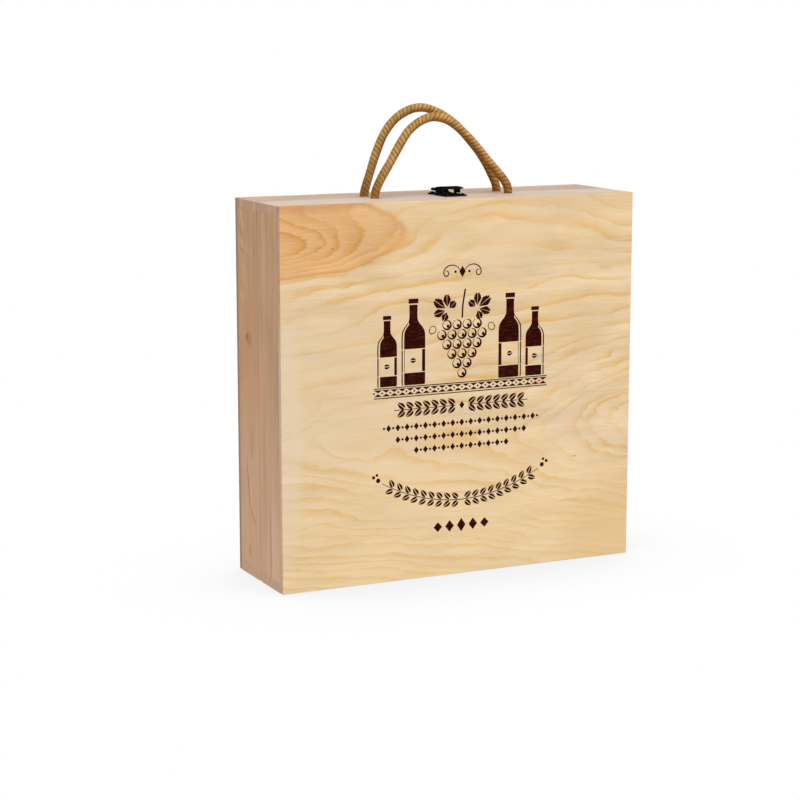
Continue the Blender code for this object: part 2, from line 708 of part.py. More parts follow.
def make_rope_ends(half_name, side):
    """Both ends of a rope: through the top board and into a knot under it."""
    knot_top = INNER_TOP - GLUE_GAP
    profile = [(0.0, BOX_HEIGHT), (ROPE_RADIUS, BOX_HEIGHT)]
    knot = arc((0.0, 0.0), 1.0, math.pi / 2, -math.pi / 2, 10)
    neck_share = ROPE_RADIUS / KNOT_RADIUS
    middle = knot_top - KNOT_HEIGHT / 2
    profile.append((ROPE_RADIUS, middle + KNOT_HEIGHT / 2 * math.sqrt(1 - neck_share ** 2)))
    profile += [
        (KNOT_RADIUS * x, middle + KNOT_HEIGHT / 2 * y)
        for x, y in knot if y < math.sqrt(1 - neck_share ** 2) and x > neck_share * 0.5
    ]
    profile.append((0.0, middle - KNOT_HEIGHT / 2))
    for end_name, x in (("left", -ROPE_SPREAD), ("right", ROPE_SPREAD)):
        place = Matrix.Translation((x, side * ROPE_SETBACK, 0))
        turned(f"{half_name}_rope_{end_name}_end", profile, place, ROPE_FIBRE)


make_half("back", BACK)
make_half("front", FRONT)
make_hinges()
make_latch()
make_rope("back_rope", BACK, BACK_ROPE_ROUTE, BACK_ROPE_LEAN)
make_rope("front_rope", FRONT, FRONT_ROPE_ROUTE, FRONT_ROPE_LEAN)
make_rope_ends("back", BACK)
make_rope_ends("front", FRONT)
bpy.context.view_layer.update()
print(f"box {2 * HALF_WIDTH * 1000:.1f} x {BOX_HEIGHT * 1000:.1f} x {2 * HALF_DEPTH * 1000:.1f} mm")
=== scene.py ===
# %% [markdown]
# # Dressing a pine gift box
# The box is two half shells of pine that close on each other. Its solids come packed in a file: boards, hinges,
# a draw latch and two rope handles, each at its real place. This lesson gives them their looks: wood that has
# grown, rope that has been laid, metal that has been handled.

# %% Load the solids
import math

import bmesh
import bpy
import numpy as np
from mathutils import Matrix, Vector, noise


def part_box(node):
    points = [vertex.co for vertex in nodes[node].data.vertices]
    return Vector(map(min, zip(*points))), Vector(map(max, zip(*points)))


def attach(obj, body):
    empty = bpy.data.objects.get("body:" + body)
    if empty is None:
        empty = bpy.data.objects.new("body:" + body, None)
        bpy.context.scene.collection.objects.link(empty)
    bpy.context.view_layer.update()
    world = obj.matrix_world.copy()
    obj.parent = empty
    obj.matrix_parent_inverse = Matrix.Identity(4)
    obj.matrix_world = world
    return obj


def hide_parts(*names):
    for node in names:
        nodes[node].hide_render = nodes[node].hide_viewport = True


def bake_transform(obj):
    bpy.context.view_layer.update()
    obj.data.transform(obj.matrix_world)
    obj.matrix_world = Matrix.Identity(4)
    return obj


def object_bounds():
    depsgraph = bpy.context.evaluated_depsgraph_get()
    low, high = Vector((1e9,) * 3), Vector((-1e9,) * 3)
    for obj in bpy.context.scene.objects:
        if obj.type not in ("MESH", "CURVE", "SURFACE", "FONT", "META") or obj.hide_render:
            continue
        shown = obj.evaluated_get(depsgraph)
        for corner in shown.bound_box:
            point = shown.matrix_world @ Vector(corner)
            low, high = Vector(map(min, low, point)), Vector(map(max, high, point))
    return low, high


MM = 0.001

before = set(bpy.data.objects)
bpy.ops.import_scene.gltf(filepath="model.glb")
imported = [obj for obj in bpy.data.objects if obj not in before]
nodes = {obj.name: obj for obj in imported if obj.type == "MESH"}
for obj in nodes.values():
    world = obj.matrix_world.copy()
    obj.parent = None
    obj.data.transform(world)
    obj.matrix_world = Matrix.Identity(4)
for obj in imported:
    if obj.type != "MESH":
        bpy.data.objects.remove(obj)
cad_low, cad_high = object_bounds()


def in_mm(place):
    """A place in metres as millimetres, rounded for printing."""
    return [round(x / MM, 1) for x in place]


print(len(nodes), "solids, in a box from", in_mm(cad_low), "to", in_mm(cad_high), "mm")

# %% [markdown]
# ## The camera
# A photograph of a box tells where its camera stood, because parallel edges run together at a known rate. This
# one was solved from the seven corners that show. It looks from the left and a little above, with a long lens.

# %% Place the camera
CAMERA_AIM = Vector((-0.0623, -0.0525, 0.1672))
CAMERA_DISTANCE = 1.9243
CAMERA_AZIMUTH = -25.41
CAMERA_ELEVATION = 10.25
CAMERA_LENS = 96.53
SENSOR_WIDTH = 36.0


def put_in_scene(name, data):
    """A new object in the scene that holds the data."""
    made = bpy.data.objects.new(name, data)
    bpy.context.scene.collection.objects.link(made)
    return made


def stand_off(made, target, azimuth, elevation, distance):
    """Puts a camera or a lamp at a distance from its target, at two angles in degrees, and aims it there."""
    around, up = math.radians(azimuth), math.radians(elevation)
    level = math.cos(up)
    out = Vector((math.sin(around) * level, -math.cos(around) * level, math.sin(up)))
    made.location = target + out * distance
    made.rotation_euler = (-out).to_track_quat("-Z", "Y").to_euler()


camera_data = bpy.data.cameras.new("camera")
camera_data.lens = CAMERA_LENS
camera_data.sensor_width = SENSOR_WIDTH
camera = put_in_scene("camera", camera_data)
stand_off(camera, CAMERA_AIM, CAMERA_AZIMUTH, CAMERA_ELEVATION, CAMERA_DISTANCE)
bpy.context.scene.camera = camera
bpy.context.scene.view_settings.view_transform = "Standard"
print("camera at", in_mm(camera.location), "mm")

# %% [markdown]
# ## A recipe for shader nodes
# Wood and rope need dozens of shader nodes, and wiring each by hand would bury the idea under the plumbing. So
# one small class adds a node and wires it in a single call. Each call returns the socket that holds its
# result, which the next call takes in, so a recipe reads from top to bottom like a sum.

# %% A helper that writes materials
class Recipe:
    """The shader nodes of one material or world, and the calls that add to them."""

    def __init__(self, owner):
        owner.use_nodes = True
        self.owner = owner
        self.tree = owner.node_tree

    def feed(self, socket, value):
        """Wires a result into a socket, or sets the socket to a plain value."""
        if isinstance(value, bpy.types.NodeSocket):
            self.tree.links.new(value, socket)
        elif value is not None:
            socket.default_value = value

    def node(self, kind, inputs=(), **settings):
        made = self.tree.nodes.new(kind)
        for name, value in settings.items():
            setattr(made, name, value)
        for place, value in enumerate(inputs):
            self.feed(made.inputs[place], value)
        return made

    def sum(self, operation, *values, clamp=False):
        return self.node("ShaderNodeMath", values, operation=operation, use_clamp=clamp).outputs[0]

    def vector(self, operation, a, b):
        return self.node("ShaderNodeVectorMath", (a, b), operation=operation).outputs["Vector"]

    def dot(self, a, b):
        return self.node("ShaderNodeVectorMath", (a, b), operation="DOT_PRODUCT").outputs["Value"]

    def join(self, x, y, z=0.0):
        return self.node("ShaderNodeCombineXYZ", (x, y, z)).outputs[0]

    def split(self, vector):
        return self.node("ShaderNodeSeparateXYZ", (vector,)).outputs[:3]

    def place(self):
        """The place on the box, along the box's own axes, in millimetres."""
        return self.vector("MULTIPLY", self.node("ShaderNodeTexCoord").outputs["Object"], (1 / MM,) * 3)

    def noise(self, place, stretch, detail=2.0, roughness=0.5, output="Fac"):
        """Noise whose blots measure about stretch along each axis, in the units of place."""
        made = self.node("ShaderNodeTexNoise", (self.vector("DIVIDE", place, stretch),))
        made.inputs["Scale"].default_value = 1.0
        made.inputs["Detail"].default_value = detail
        made.inputs["Roughness"].default_value = roughness
        return made.outputs[output]

    def step(self, value, low, high, to_low=0.0, to_high=1.0):
        """A smooth step from to_low, where value is at most low, to to_high, where it is at least high."""
        made = self.node("ShaderNodeMapRange", (value,), interpolation_type="SMOOTHSTEP")
        for name, number in zip(("From Min", "From Max", "To Min", "To Max"), (low, high, to_low, to_high)):
            made.inputs[name].default_value = number
        return made.outputs[0]

    def ramp(self, value, stops):
        """A curve through (place, height) stops."""
        made = self.node("ShaderNodeValToRGB", (value,))
        elements = made.color_ramp.elements
        while len(elements) < len(stops):
            elements.new(0.5)
        for element, (place, height) in zip(elements, stops):
            element.position = place
            element.color = (height, height, height, 1.0)
        return made.outputs[0]

    def mix(self, share, a, b, blend="MIX"):
        """Two colours, blended. A Mix node has sockets for numbers and vectors too: 6 and 7 are its colours."""
        made = self.node("ShaderNodeMix", data_type="RGBA", blend_type=blend)
        colours = [(*c, 1.0) if isinstance(c, tuple) and len(c) == 3 else c for c in (a, b)]
        for socket, value in zip((made.inputs[0], made.inputs[6], made.inputs[7]), (share, *colours)):
            self.feed(socket, value)
        return made.outputs[2]

    def shade(self, colour, amount):
        """A colour times a number."""
        return self.mix(1.0, colour, self.join(amount, amount, amount), "MULTIPLY")

    def bump(self, height, distance, strength):
        made = self.node("ShaderNodeBump")
        made.inputs["Strength"].default_value = strength
        made.inputs["Distance"].default_value = distance
        self.feed(made.inputs["Height"], height)
        return made.outputs[0]

    def finish(self, **inputs):
        """Sets the shader's own inputs, named in lower case with underscores, and returns the material."""
        shader = self.tree.nodes["Principled BSDF"]
        for name, value in inputs.items():
            socket = shader.inputs[name.replace("_", " ").title().replace("Ior", "IOR")]
            self.feed(socket, (*value, 1.0) if isinstance(value, tuple) else value)
        return self.owner


print("a recipe can", ", ".join(name for name in vars(Recipe) if not name.startswith("_")))

# %% [markdown]
# ## How a pine board gets its figure
# A board is a slice of a log, and each line on it is where the slice cuts one year's ring. Where the slice runs
# along the rings the lines are long and calm. Where it grazes a ring they close into arches and eyes. So the
# figure is a contour map: a height that rises steadily across the board, with a low hill wherever the board
# shows an arch or an eye, and one dark line for each step of height.

# %% A contour map
DEPTH_RISE = 0.7


def bell(recipe, place, centre, reach):
    """A share that is 1 at the centre and falls off like a bell over its reach along and across."""
    scaled = recipe.vector("DIVIDE", recipe.vector("SUBTRACT", place, (*centre, 0.0)), (*reach, 1e6))
    return recipe.sum("POWER", 1.0 / math.e, recipe.dot(scaled, scaled))


def contour(recipe, place, hills, ridge):
    """The height of the contour map in millimetres.
    A ridge is (place across the board, fall along the board, roundness of its crest, rise along its crest)."""
    along, across, depth = recipe.split(place)
    if ridge:
        crest, fall, roundness, rise = ridge
        aside = recipe.sum("MULTIPLY_ADD", along, fall, recipe.sum("SUBTRACT", across, crest))
        slope = recipe.sum("SQRT", recipe.sum("MULTIPLY_ADD", aside, aside, roundness**2))
        across = recipe.sum("SUBTRACT", recipe.sum("MULTIPLY", along, rise), slope)
    height = recipe.sum("MULTIPLY_ADD", depth, DEPTH_RISE, across)
    for centre, reach, rise in hills:
        height = recipe.sum("MULTIPLY_ADD", bell(recipe, place, centre, reach), rise, height)
    return height


print("the map rises", DEPTH_RISE, "mm for each mm into the wood")

# %% [markdown]
# ## What the map is drawn with
# Noise that is long along the fibre makes the lines wander, and a finer one cuts small teeth into them. Fibres,
# resin ducts and soft blotches shade the wood between the lines, and a sawn end shows pores instead of them.
# The map lives in the box's own coordinates, so a board keeps its grain when it moves. A knot or a stain that
# no map would give is a mark of its own: an oval that is tinted.

# %% A recipe for pine
SPRING_TO_AUTUMN = ((0.0, 0.0), (0.4, 0.08), (0.75, 0.55), (0.9, 1.0), (0.96, 0.45), (1.0, 0.0))
END_GRAIN = (0.68, 0.41, 0.25)
# How the box's axes run on a board: along the fibre, across it, and into the wood
BOARD_AXES = {"panel": (0, 2, 1), "end": (2, 1, 0), "top": (0, 1, 2)}
# Noises that push the lines about: the size of their blots in mm
BROAD_BLOTS = (110.0, 52.0, 52.0)
CLOSE_BLOTS = (32.0, 11.0, 11.0)
TEETH_BLOTS = (15.0, 1.8, 1.8)
TEETH_REACH = (8.5, 0.8, 0.0)
HEART_EDGE = 0.31


def pine(
    name, board, spring, autumn, ring_width, hills=(), ridge=None, heart=None, marks=(), wander=(34.0, 4.5),
    streak=0.02, end=END_GRAIN, piece=0.0,
):
    """Pine for one kind of board. Lengths are in millimetres.
    A hill is (centre, reach, rise), with centre and reach as (along the fibre, across it).
    Heartwood is (centre, reach, its spring colour, its autumn colour).
    A mark is (centre, reach, colour, strength), and for a leaning one how far it leans across per length."""
    recipe = Recipe(bpy.data.materials.new(name))
    axes = BOARD_AXES[board]
    xyz = recipe.split(recipe.place())
    place = recipe.join(*(xyz[k] for k in axes))
    shifted = recipe.vector("ADD", place, (piece, piece * 0.7, piece * 0.3))

    def mottle(long, wide, detail, low, high, least, most, roughness=0.5):
        """A number between least and most that changes over blots this long and wide."""
        blots = recipe.noise(shifted, (long, wide, wide), detail, roughness)
        return recipe.step(blots, low, high, least, most)

    warped = place
    for blots, detail, reach in (
        (BROAD_BLOTS, 1.0, (wander[0],) * 3),
        (CLOSE_BLOTS, 2.0, (wander[1],) * 3),
        (TEETH_BLOTS, 1.0, TEETH_REACH),
    ):
        cloud = recipe.noise(shifted, blots, detail, output="Color")
        centred = recipe.vector("SUBTRACT", cloud, (0.5, 0.5, 0.5))
        warped = recipe.vector("ADD", warped, recipe.vector("MULTIPLY", centred, reach))

    height = contour(recipe, warped, hills, ridge)
    uneven = recipe.noise(recipe.join(height, 0.0, piece), (19.0, 1.0, 1.0), 1.0)
    rings = recipe.sum("MULTIPLY_ADD", height, 1.0 / ring_width, recipe.sum("MULTIPLY", uneven, 1.6))
    season = recipe.ramp(recipe.sum("FRACT", rings), SPRING_TO_AUTUMN)
    lines = recipe.sum("MULTIPLY", season, mottle(80, 30, 1.0, 0.34, 0.62, 0.35, 1.0))
    warmth = mottle(75, 24, 2.0, 0.42, 0.68, 0.0, 0.3)
    colour = recipe.mix(recipe.sum("MAXIMUM", lines, warmth), spring, autumn)
    if heart:
        centre, reach, heart_spring, heart_autumn = heart
        inside = bell(recipe, warped, centre, reach)
        from_edge = recipe.sum("ABSOLUTE", recipe.sum("SUBTRACT", inside, HEART_EDGE))
        rim = recipe.step(from_edge, 0.0, 0.05, 0.95, 0.0)
        heartwood = recipe.mix(recipe.sum("MAXIMUM", lines, rim), heart_spring, heart_autumn)
        core = recipe.step(inside, 0.32, 0.6, 0.0, 0.15)
        dyed = recipe.sum("ADD", recipe.step(inside, 0.24, 0.32, 0.0, 0.85), core)
        colour = recipe.mix(dyed, colour, heartwood)

    blotches = mottle(60, 16, 2.0, 0.3, 0.7, 0.93, 1.05)
    fibres = mottle(26, 0.55, 3.0, 0.3, 0.7, 0.94, 1.045, roughness=0.6)
    ducts = mottle(3.2, 0.22, 0.0, 0.72, 0.8, 1.0, 0.82)
    streaks = mottle(160, 4.5, 2.0, 0.3, 0.7, 1.0 - streak, 1.0 + streak)
    amount = recipe.sum("MULTIPLY", blotches, fibres)
    amount = recipe.sum("MULTIPLY", amount, recipe.sum("MULTIPLY", ducts, streaks))
    colour = recipe.shade(colour, amount)

    facing = recipe.node("ShaderNodeTexCoord").outputs["Normal"]
    fibre_axis = tuple(float(k == axes[0]) for k in range(3))
    at_end = recipe.step(recipe.sum("ABSOLUTE", recipe.dot(facing, fibre_axis)), 0.6, 0.95)
    pores = mottle(0.5, 0.5, 2.0, 0.35, 0.65, 0.9, 1.06)
    pores = recipe.sum("MULTIPLY", pores, recipe.sum("MULTIPLY_ADD", season, -0.16, 1.0))
    colour = recipe.mix(at_end, colour, recipe.shade(end, pores))

    for spot, size, tint, strength, *lean in marks:
        offset = recipe.vector("SUBTRACT", place, (*spot, 0.0))
        if lean:
            along, across, _ = recipe.split(offset)
            offset = recipe.join(along, recipe.sum("MULTIPLY_ADD", along, -lean[0], across))
        offset = recipe.vector("DIVIDE", offset, (*size, 1e6))
        share = recipe.step(recipe.dot(offset, offset), 0.2, 1.4, strength, 0.0)
        colour = recipe.mix(share, colour, tint)

    relief = recipe.sum("MULTIPLY_ADD", lines, 0.4, recipe.sum("MULTIPLY", fibres, 2.0))
    roughness = mottle(30, 2, 2.0, 0.3, 0.7, 0.56, 0.7)
    normal = recipe.bump(relief, 0.0002, 0.35)
    return recipe.finish(base_color=colour, roughness=roughness, specular_ior_level=0.35, normal=normal)


print("one ring from spring to autumn:", SPRING_TO_AUTUMN)

# %% [markdown]
# ## The panels
# All the boards are pine, yet each came off its own plank, so each gets its own map and tones. One corner of
# the front panel holds orange heartwood, with a rim where it ends. The hills are read off the photograph. Of
# the marks, the first are broad tints and the last two are pin knots.

# %% Wood for the front panel
SPRING = (0.815, 0.62, 0.385)
AUTUMN = (0.75, 0.45, 0.14)
HEART_SPRING = (0.79, 0.45, 0.19)
HEART_AUTUMN = (0.67, 0.285, 0.045)

FRONT_RIDGE = (128, 0.06, 26, 0.13)
FRONT_HILLS = (
    ((-190, 309), (120, 27), -58),
    ((0, 345), (330, 95), 66),
    ((215, 140), (95, 55), 52),
    ((195, 318), (110, 34), -22),
    ((-186, 158), (30, 13), -26),
    ((-110, 135), (30, 22), 14),
    ((0, -20), (400, 60), -34),
)
FRONT_HEART = ((-190, 317), (117, 37), HEART_SPRING, HEART_AUTUMN)
FRONT_MARKS = (
    ((-120, 175), (115, 85), (0.79, 0.60, 0.37), 0.5),
    ((50, 332), (170, 42), (0.80, 0.55, 0.28), 0.3),
    ((10, 20), (230, 110), (0.93, 0.68, 0.36), 0.35),
    # A pale band along the left edge: painted sheen
    ((-174, 140), (18, 122), (0.82, 0.65, 0.47), 0.5),
    ((170, 8), (70, 70), (0.74, 0.47, 0.20), 0.5),
    ((125, 343), (75, 14), (0.70, 0.49, 0.275), 0.45),
    ((-150, 347), (68, 10), (0.48, 0.17, 0.05), 0.4),
    ((-68, 309), (20, 7), (0.76, 0.43, 0.15), 0.6),
    ((-127.5, 306), (1.6, 1.1), (0.30, 0.12, 0.04), 0.55),
    ((118.5, 100), (2.2, 0.8), (0.30, 0.12, 0.05), 0.6),
)
front_pine = pine(
    "front_pine", "panel", SPRING, AUTUMN, 11, FRONT_HILLS, FRONT_RIDGE, FRONT_HEART, FRONT_MARKS,
    wander=(24, 9), end=(0.70, 0.43, 0.27),
)
print("front figure:", len(FRONT_HILLS), "hills and", len(FRONT_MARKS), "marks")

# %% Wood for the back panel
BACK_HILLS = (
    ((120, 210), (110, 34), 62),
    ((-150, 60), (70, 26), 44),
    ((-60, 290), (60, 18), 20),
    ((20, 110), (90, 30), -24),
)
BACK_MARKS = (((62, 262), (3.6, 2.6), (0.24, 0.09, 0.03), 0.85),)
back_pine = pine(
    "back_pine", "panel", SPRING, AUTUMN, 10.5, BACK_HILLS, marks=BACK_MARKS, wander=(26, 7),
    end=(0.42, 0.27, 0.175), piece=410,
)
print("back figure:", len(BACK_HILLS), "hills and", len(BACK_MARKS), "knot")

# %% [markdown]
# ## The end boards
# The end boards are browner, and their grain stands upright in fine straight lines, so little wander and many
# streaks suit them. The two halves of an end share one map, because the box was glued up closed and sawn apart
# afterwards, and the figure runs on over the seam. The left end is the one that the photograph shows, with
# curly fibre in its upper rear corner and a knot under it.

# %% Wood for the end boards
END_SPRING = (0.68, 0.40, 0.21)
END_AUTUMN = (0.62, 0.345, 0.17)
END_WANDER = (7, 1.6)
END_STREAK = 0.07
STREAK = (0.58, 0.27, 0.10)
PALE_STREAK = (0.80, 0.52, 0.36)
PALE_FIBRE = (0.90, 0.60, 0.44)
BROWN_FIBRE = (0.64, 0.30, 0.13)
KNOT_BROWN = (0.30, 0.13, 0.045)
LEFT_HILLS = (
    ((310, 44), (60, 9), 9),
    ((120, 10), (120, 14), 12),
    ((40, -34), (90, 10), -8),
)
LEFT_MARKS = (
    ((30, 0), (190, 60), (0.86, 0.535, 0.335), 0.55),
    ((200, 20), (80, 26), (0.72, 0.35, 0.155), 0.4),
    ((20, -34), (60, 20), (0.92, 0.61, 0.44), 0.4),
    ((115, -13), (75, 3.6), BROWN_FIBRE, 0.4),
    ((125, 18), (16, 5), BROWN_FIBRE, 0.45),
    ((300, -15), (56, 5.5), (0.80, 0.55, 0.35), 0.4),
    ((60, -31), (60, 2.2), PALE_FIBRE, 0.4),
    ((327, 36.5), (10, 2.4), PALE_STREAK, 0.7, 0.56),
    ((317, 41), (6.5, 2.4), STREAK, 0.75, 0.9),
    ((306, 38), (6, 3), PALE_STREAK, 0.6, 1.3),
    ((299, 37), (3, 3.6), STREAK, 0.75, 2.4),
    ((288.5, 39), (2.8, 3), STREAK, 0.8, 1.5),
    ((284, 35), (7.5, 2.4), PALE_STREAK, 0.6, 1),
    ((268, 37), (5, 2.2), STREAK, 0.55, 0.8),
    ((256, 38), (6, 2.2), PALE_STREAK, 0.5, 0.7),
    ((220.5, 22.5), (6.5, 7), (0.50, 0.24, 0.075), 0.7),
    ((221.5, 27), (3.4, 2.4), KNOT_BROWN, 0.8),
    ((86, 27.5), (23, 1.9), (0.52, 0.23, 0.09), 0.75, 0.18),
    ((80, 22.5), (22, 1.6), PALE_FIBRE, 0.45, 0.18),
    ((57, 17), (10, 1.9), (0.55, 0.26, 0.11), 0.6, 0.8),
    ((23, 25), (5.6, 4.2), (0.74, 0.33, 0.15), 0.85),
    ((37, -25), (44, 1.9), (0.46, 0.22, 0.11), 0.6),
)
RIGHT_HILLS = (
    ((230, -12), (110, 16), 22),
    ((60, 30), (80, 10), 9),
)
RIGHT_MARKS = (
    ((140, -30), (9, 3.6), STREAK, 0.6),
    ((140, -30), (3, 2), KNOT_BROWN, 0.9),
)
left_pine = pine(
    "left_pine", "end", END_SPRING, END_AUTUMN, 6.5, LEFT_HILLS, marks=LEFT_MARKS, wander=END_WANDER,
    streak=END_STREAK,
)
right_pine = pine(
    "right_pine", "end", END_SPRING, END_AUTUMN, 7, RIGHT_HILLS, marks=RIGHT_MARKS, wander=END_WANDER,
    streak=END_STREAK, piece=830,
)
print("left end:", len(LEFT_MARKS), "marks; right end:", len(RIGHT_MARKS))

# %% [markdown]
# ## The top and the inside
# The top boards of the two halves differ in tone: pinkish brown behind, greyer in front. They lie over the end
# boards, so their ends show as a band of end grain with a few pale rays. The bottom is like the end boards, and
# the rests that carry the bottles are plain yellow pine.

# %% Wood for the top, the bottom and the rests
BACK_TOP = ((0.66, 0.46, 0.34), (0.56, 0.36, 0.24))
FRONT_TOP = ((0.76, 0.62, 0.52), (0.68, 0.50, 0.38))
REST = ((0.74, 0.53, 0.31), (0.64, 0.40, 0.19))
PALE_RAY = (0.82, 0.66, 0.50)
box_edge = cad_low.x / MM


def rays(*places):
    """Pale rays in the left end grain of a top board, at these places across the box."""
    return tuple(((box_edge, place), (1.2, 1.9), PALE_RAY, 0.4) for place in places)


dark_corner = ((box_edge + 1, 48), (3.5, 5), (0.46, 0.19, 0.11), 0.5)
back_top_pine = pine(
    "back_top_pine", "top", *BACK_TOP, 5.5, (((-60, 40), (120, 12), 9),),
    marks=(*rays(37.5, 5.5), dark_corner), piece=120,
)
front_top_pine = pine(
    "front_top_pine", "top", *FRONT_TOP, 5.5, (((70, -30), (90, 10), 8),), marks=rays(-28.5, -41.5),
    piece=260,
)
bottom_pine = pine(
    "bottom_pine", "top", END_SPRING, END_AUTUMN, 6, (((30, 10), (140, 22), 26),),
    end=(0.75, 0.47, 0.30), piece=560,
)
rest_pine = pine("rest_pine", "top", *REST, 5, piece=700)


def dress(material, *names):
    """Gives solids one material, in the slots that they already have."""
    for name in names:
        for holder in nodes[name].material_slots:
            holder.material = material
    return len(names)


dressed = sum(
    dress(wood, *names) for wood, *names in (
        (front_pine, "front_panel"),
        (back_pine, "back_panel"),
        (left_pine, "front_left_board", "back_left_board"),
        (right_pine, "front_right_board", "back_right_board"),
        (back_top_pine, "back_top_board"),
        (front_top_pine, "front_top_board"),
        (bottom_pine, "front_bottom_board", "back_bottom_board"),
        (rest_pine, "front_base_rest", "front_neck_rest", "back_base_rest", "back_neck_rest"),
    )
)
print(dressed, "boards dressed")

# %% [markdown]
# ## Joints that are filled and sanded
# The edges of every solid are a little round, so two boards that are glued together leave a groove that would
# show as a dark line. On the real box glue and sanding dust fill it. Here a thin wedge of filler lies in each
# groove. It takes the wood of its face, so the joint is seen only where the grain changes.

# %% Fill the joints
EDGE_ROUND = 0.0006
FILLER_RECESS = 0.00005
FILLER_SPREAD = 0.9
WEDGE_FACES = 5


def settle(name, work, *materials):
    """Ends the work on a mesh: an object in the scene that holds it, in these materials."""
    mesh = bpy.data.meshes.new(name)
    work.to_mesh(mesh)
    work.free()
    for material in materials:
        mesh.materials.append(material)
    return put_in_scene(name, mesh)


def wedge(work, start, end, out, slot):
    """A wedge from start to end along a groove in the face whose outward direction is out."""
    along = (end - start).normalized()
    side = along.cross(out) * (EDGE_ROUND * FILLER_SPREAD)
    rows = []
    for point in (start + along * EDGE_ROUND, end - along * EDGE_ROUND):
        face = point - out * FILLER_RECESS
        rows.append([work.verts.new(p) for p in (face - side, face + side, point - out * EDGE_ROUND)])
    for row in rows:
        work.faces.new(row).material_index = slot
    for k in range(3):
        work.faces.new((rows[0][k], rows[0][k - 1], rows[1][k - 1], rows[1][k])).material_index = slot


def between(first, second, axis):
    """The middle of the gap between two solids, where the first ends and the second begins along an axis."""
    return (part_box(first)[1][axis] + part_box(second)[0][axis]) / 2


def fill_joints(half, woods):
    """All the glued joints that show on one half: round its panel, and above and below its end boards."""
    low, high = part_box(f"{half}_panel")
    if half == "front":
        depth, seam = between("front_panel", "front_left_board", 1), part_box("front_left_board")[1].y
    else:
        depth, seam = between("back_left_board", "back_panel", 1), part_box("back_left_board")[0].y
    stack = [f"{half}_{place}_board" for place in ("bottom", "left", "top")]
    work = bmesh.new()
    for slot, x in enumerate((low.x, high.x)):
        outward = Vector((math.copysign(1.0, x), 0.0, 0.0))
        wedge(work, Vector((x, depth, low.z)), Vector((x, depth, high.z)), outward, slot)
        for lower, upper in zip(stack, stack[1:]):
            z = between(lower, upper, 2)
            wedge(work, Vector((x, depth, z)), Vector((x, seam, z)), outward, slot)
    for slot, z, out in ((2, high.z, 1.0), (3, low.z, -1.0)):
        wedge(work, Vector((low.x, depth, z)), Vector((high.x, depth, z)), Vector((0.0, 0.0, out)), slot)
    bmesh.ops.recalc_face_normals(work, faces=work.faces)
    filler = settle(f"{half}_joint_filler", work, *woods)
    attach(filler, f"{half}_half")
    return len(filler.data.polygons) // WEDGE_FACES


for half, top_wood in (("front", front_top_pine), ("back", back_top_pine)):
    print(half, "half:", fill_joints(half, (left_pine, right_pine, top_wood, bottom_pine)), "joints filled")

# %% [markdown]
# ## Laying a rope
# Each handle is a soft rope of three strands that comes up through a hole in a top board, arches over and goes
# down through the next hole. A plain tube would keep a smooth outline, and a rope's outline is knobbly. Three
# tubes twisted together would hide most of their skin inside. So the rope is one skin: each ring along the
# route is the outline of three ovals that touch, turned a little further than the last. The texture's own
# coordinates run along the rope and across a strand, so the yarns belong to the mesh itself.

# %% Routes of the two arches
ROPE_DIAMETER = 0.0078
BACK_LEAN = math.radians(12)
FRONT_LEAN = math.radians(4)
PIVOT_RISE = 0.0042
CURVE_STEPS = 12

# Across the box, and up along the arch's own plane, from one hole to the other
BACK_ARCH = [
    (-0.0602, 0.0179), (-0.0524, 0.0355), (-0.0429, 0.0523), (-0.0310, 0.0652), (-0.0168, 0.0732),
    (-0.0028, 0.0757), (0.0111, 0.0721), (0.0240, 0.0647), (0.0358, 0.0543), (0.0497, 0.0375),
    (0.0578, 0.0245), (0.0638, 0.0118),
]
FRONT_ARCH = [
    (-0.0618, 0.0123), (-0.0515, 0.0277), (-0.0415, 0.0433), (-0.0321, 0.0554), (-0.0199, 0.0638),
    (-0.0075, 0.0672), (0.0049, 0.0649), (0.0172, 0.0575), (0.0322, 0.0438), (0.0460, 0.0279),
    (0.0578, 0.0149), (0.0638, 0.0078),
]


def on_curve(a, b, c, d, t):
    """The point at share t between b and c, on a smooth curve that also passes through a and d."""
    square = (2 * a - 5 * b + 4 * c - d) * t**2
    cube = (3 * b - a - 3 * c + d) * t**3
    return 0.5 * (2 * b + (c - a) * t + square + cube)


def smooth(points, spacing):
    """Points at an even spacing along a smooth curve through the given ones, and the curve's length."""
    points = [Vector(p) for p in points]
    ends = [2 * points[0] - points[1]] + points + [2 * points[-1] - points[-2]]
    fine = []
    for around in zip(ends, ends[1:], ends[2:], ends[3:]):
        fine += [on_curve(*around, step / CURVE_STEPS) for step in range(CURVE_STEPS)]
    fine.append(points[-1])
    reach = np.concatenate(([0.0], np.cumsum([(q - p).length for p, q in zip(fine, fine[1:])])))
    goals = np.linspace(0.0, reach[-1], max(2, round(reach[-1] / spacing)) + 1)
    table = np.array([tuple(p) for p in fine])
    even = np.stack([np.interp(goals, reach, table[:, k]) for k in range(table.shape[1])], axis=1)
    return [Vector(p) for p in even], float(reach[-1])


board_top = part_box("back_top_board")[1].z
board_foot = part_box("back_top_board")[0].z
print("rope holes go from", round(board_foot / MM, 1), "up to", round(board_top / MM, 1), "mm")

# %% The rope's skin
STRANDS = 3
LAY = 12.0 * MM
STRAND_ORBIT = 1.9 * MM
STRAND_RISE = 2.0 * MM
STRAND_SPREAD = 3.15 * MM
STRAND_STEPS = 24
RING_SPACING = 0.55 * MM
UNEVEN_REACH = 14.0 * MM
UNEVEN_TWIST = 0.09
UNEVEN_GIRTH = 0.05


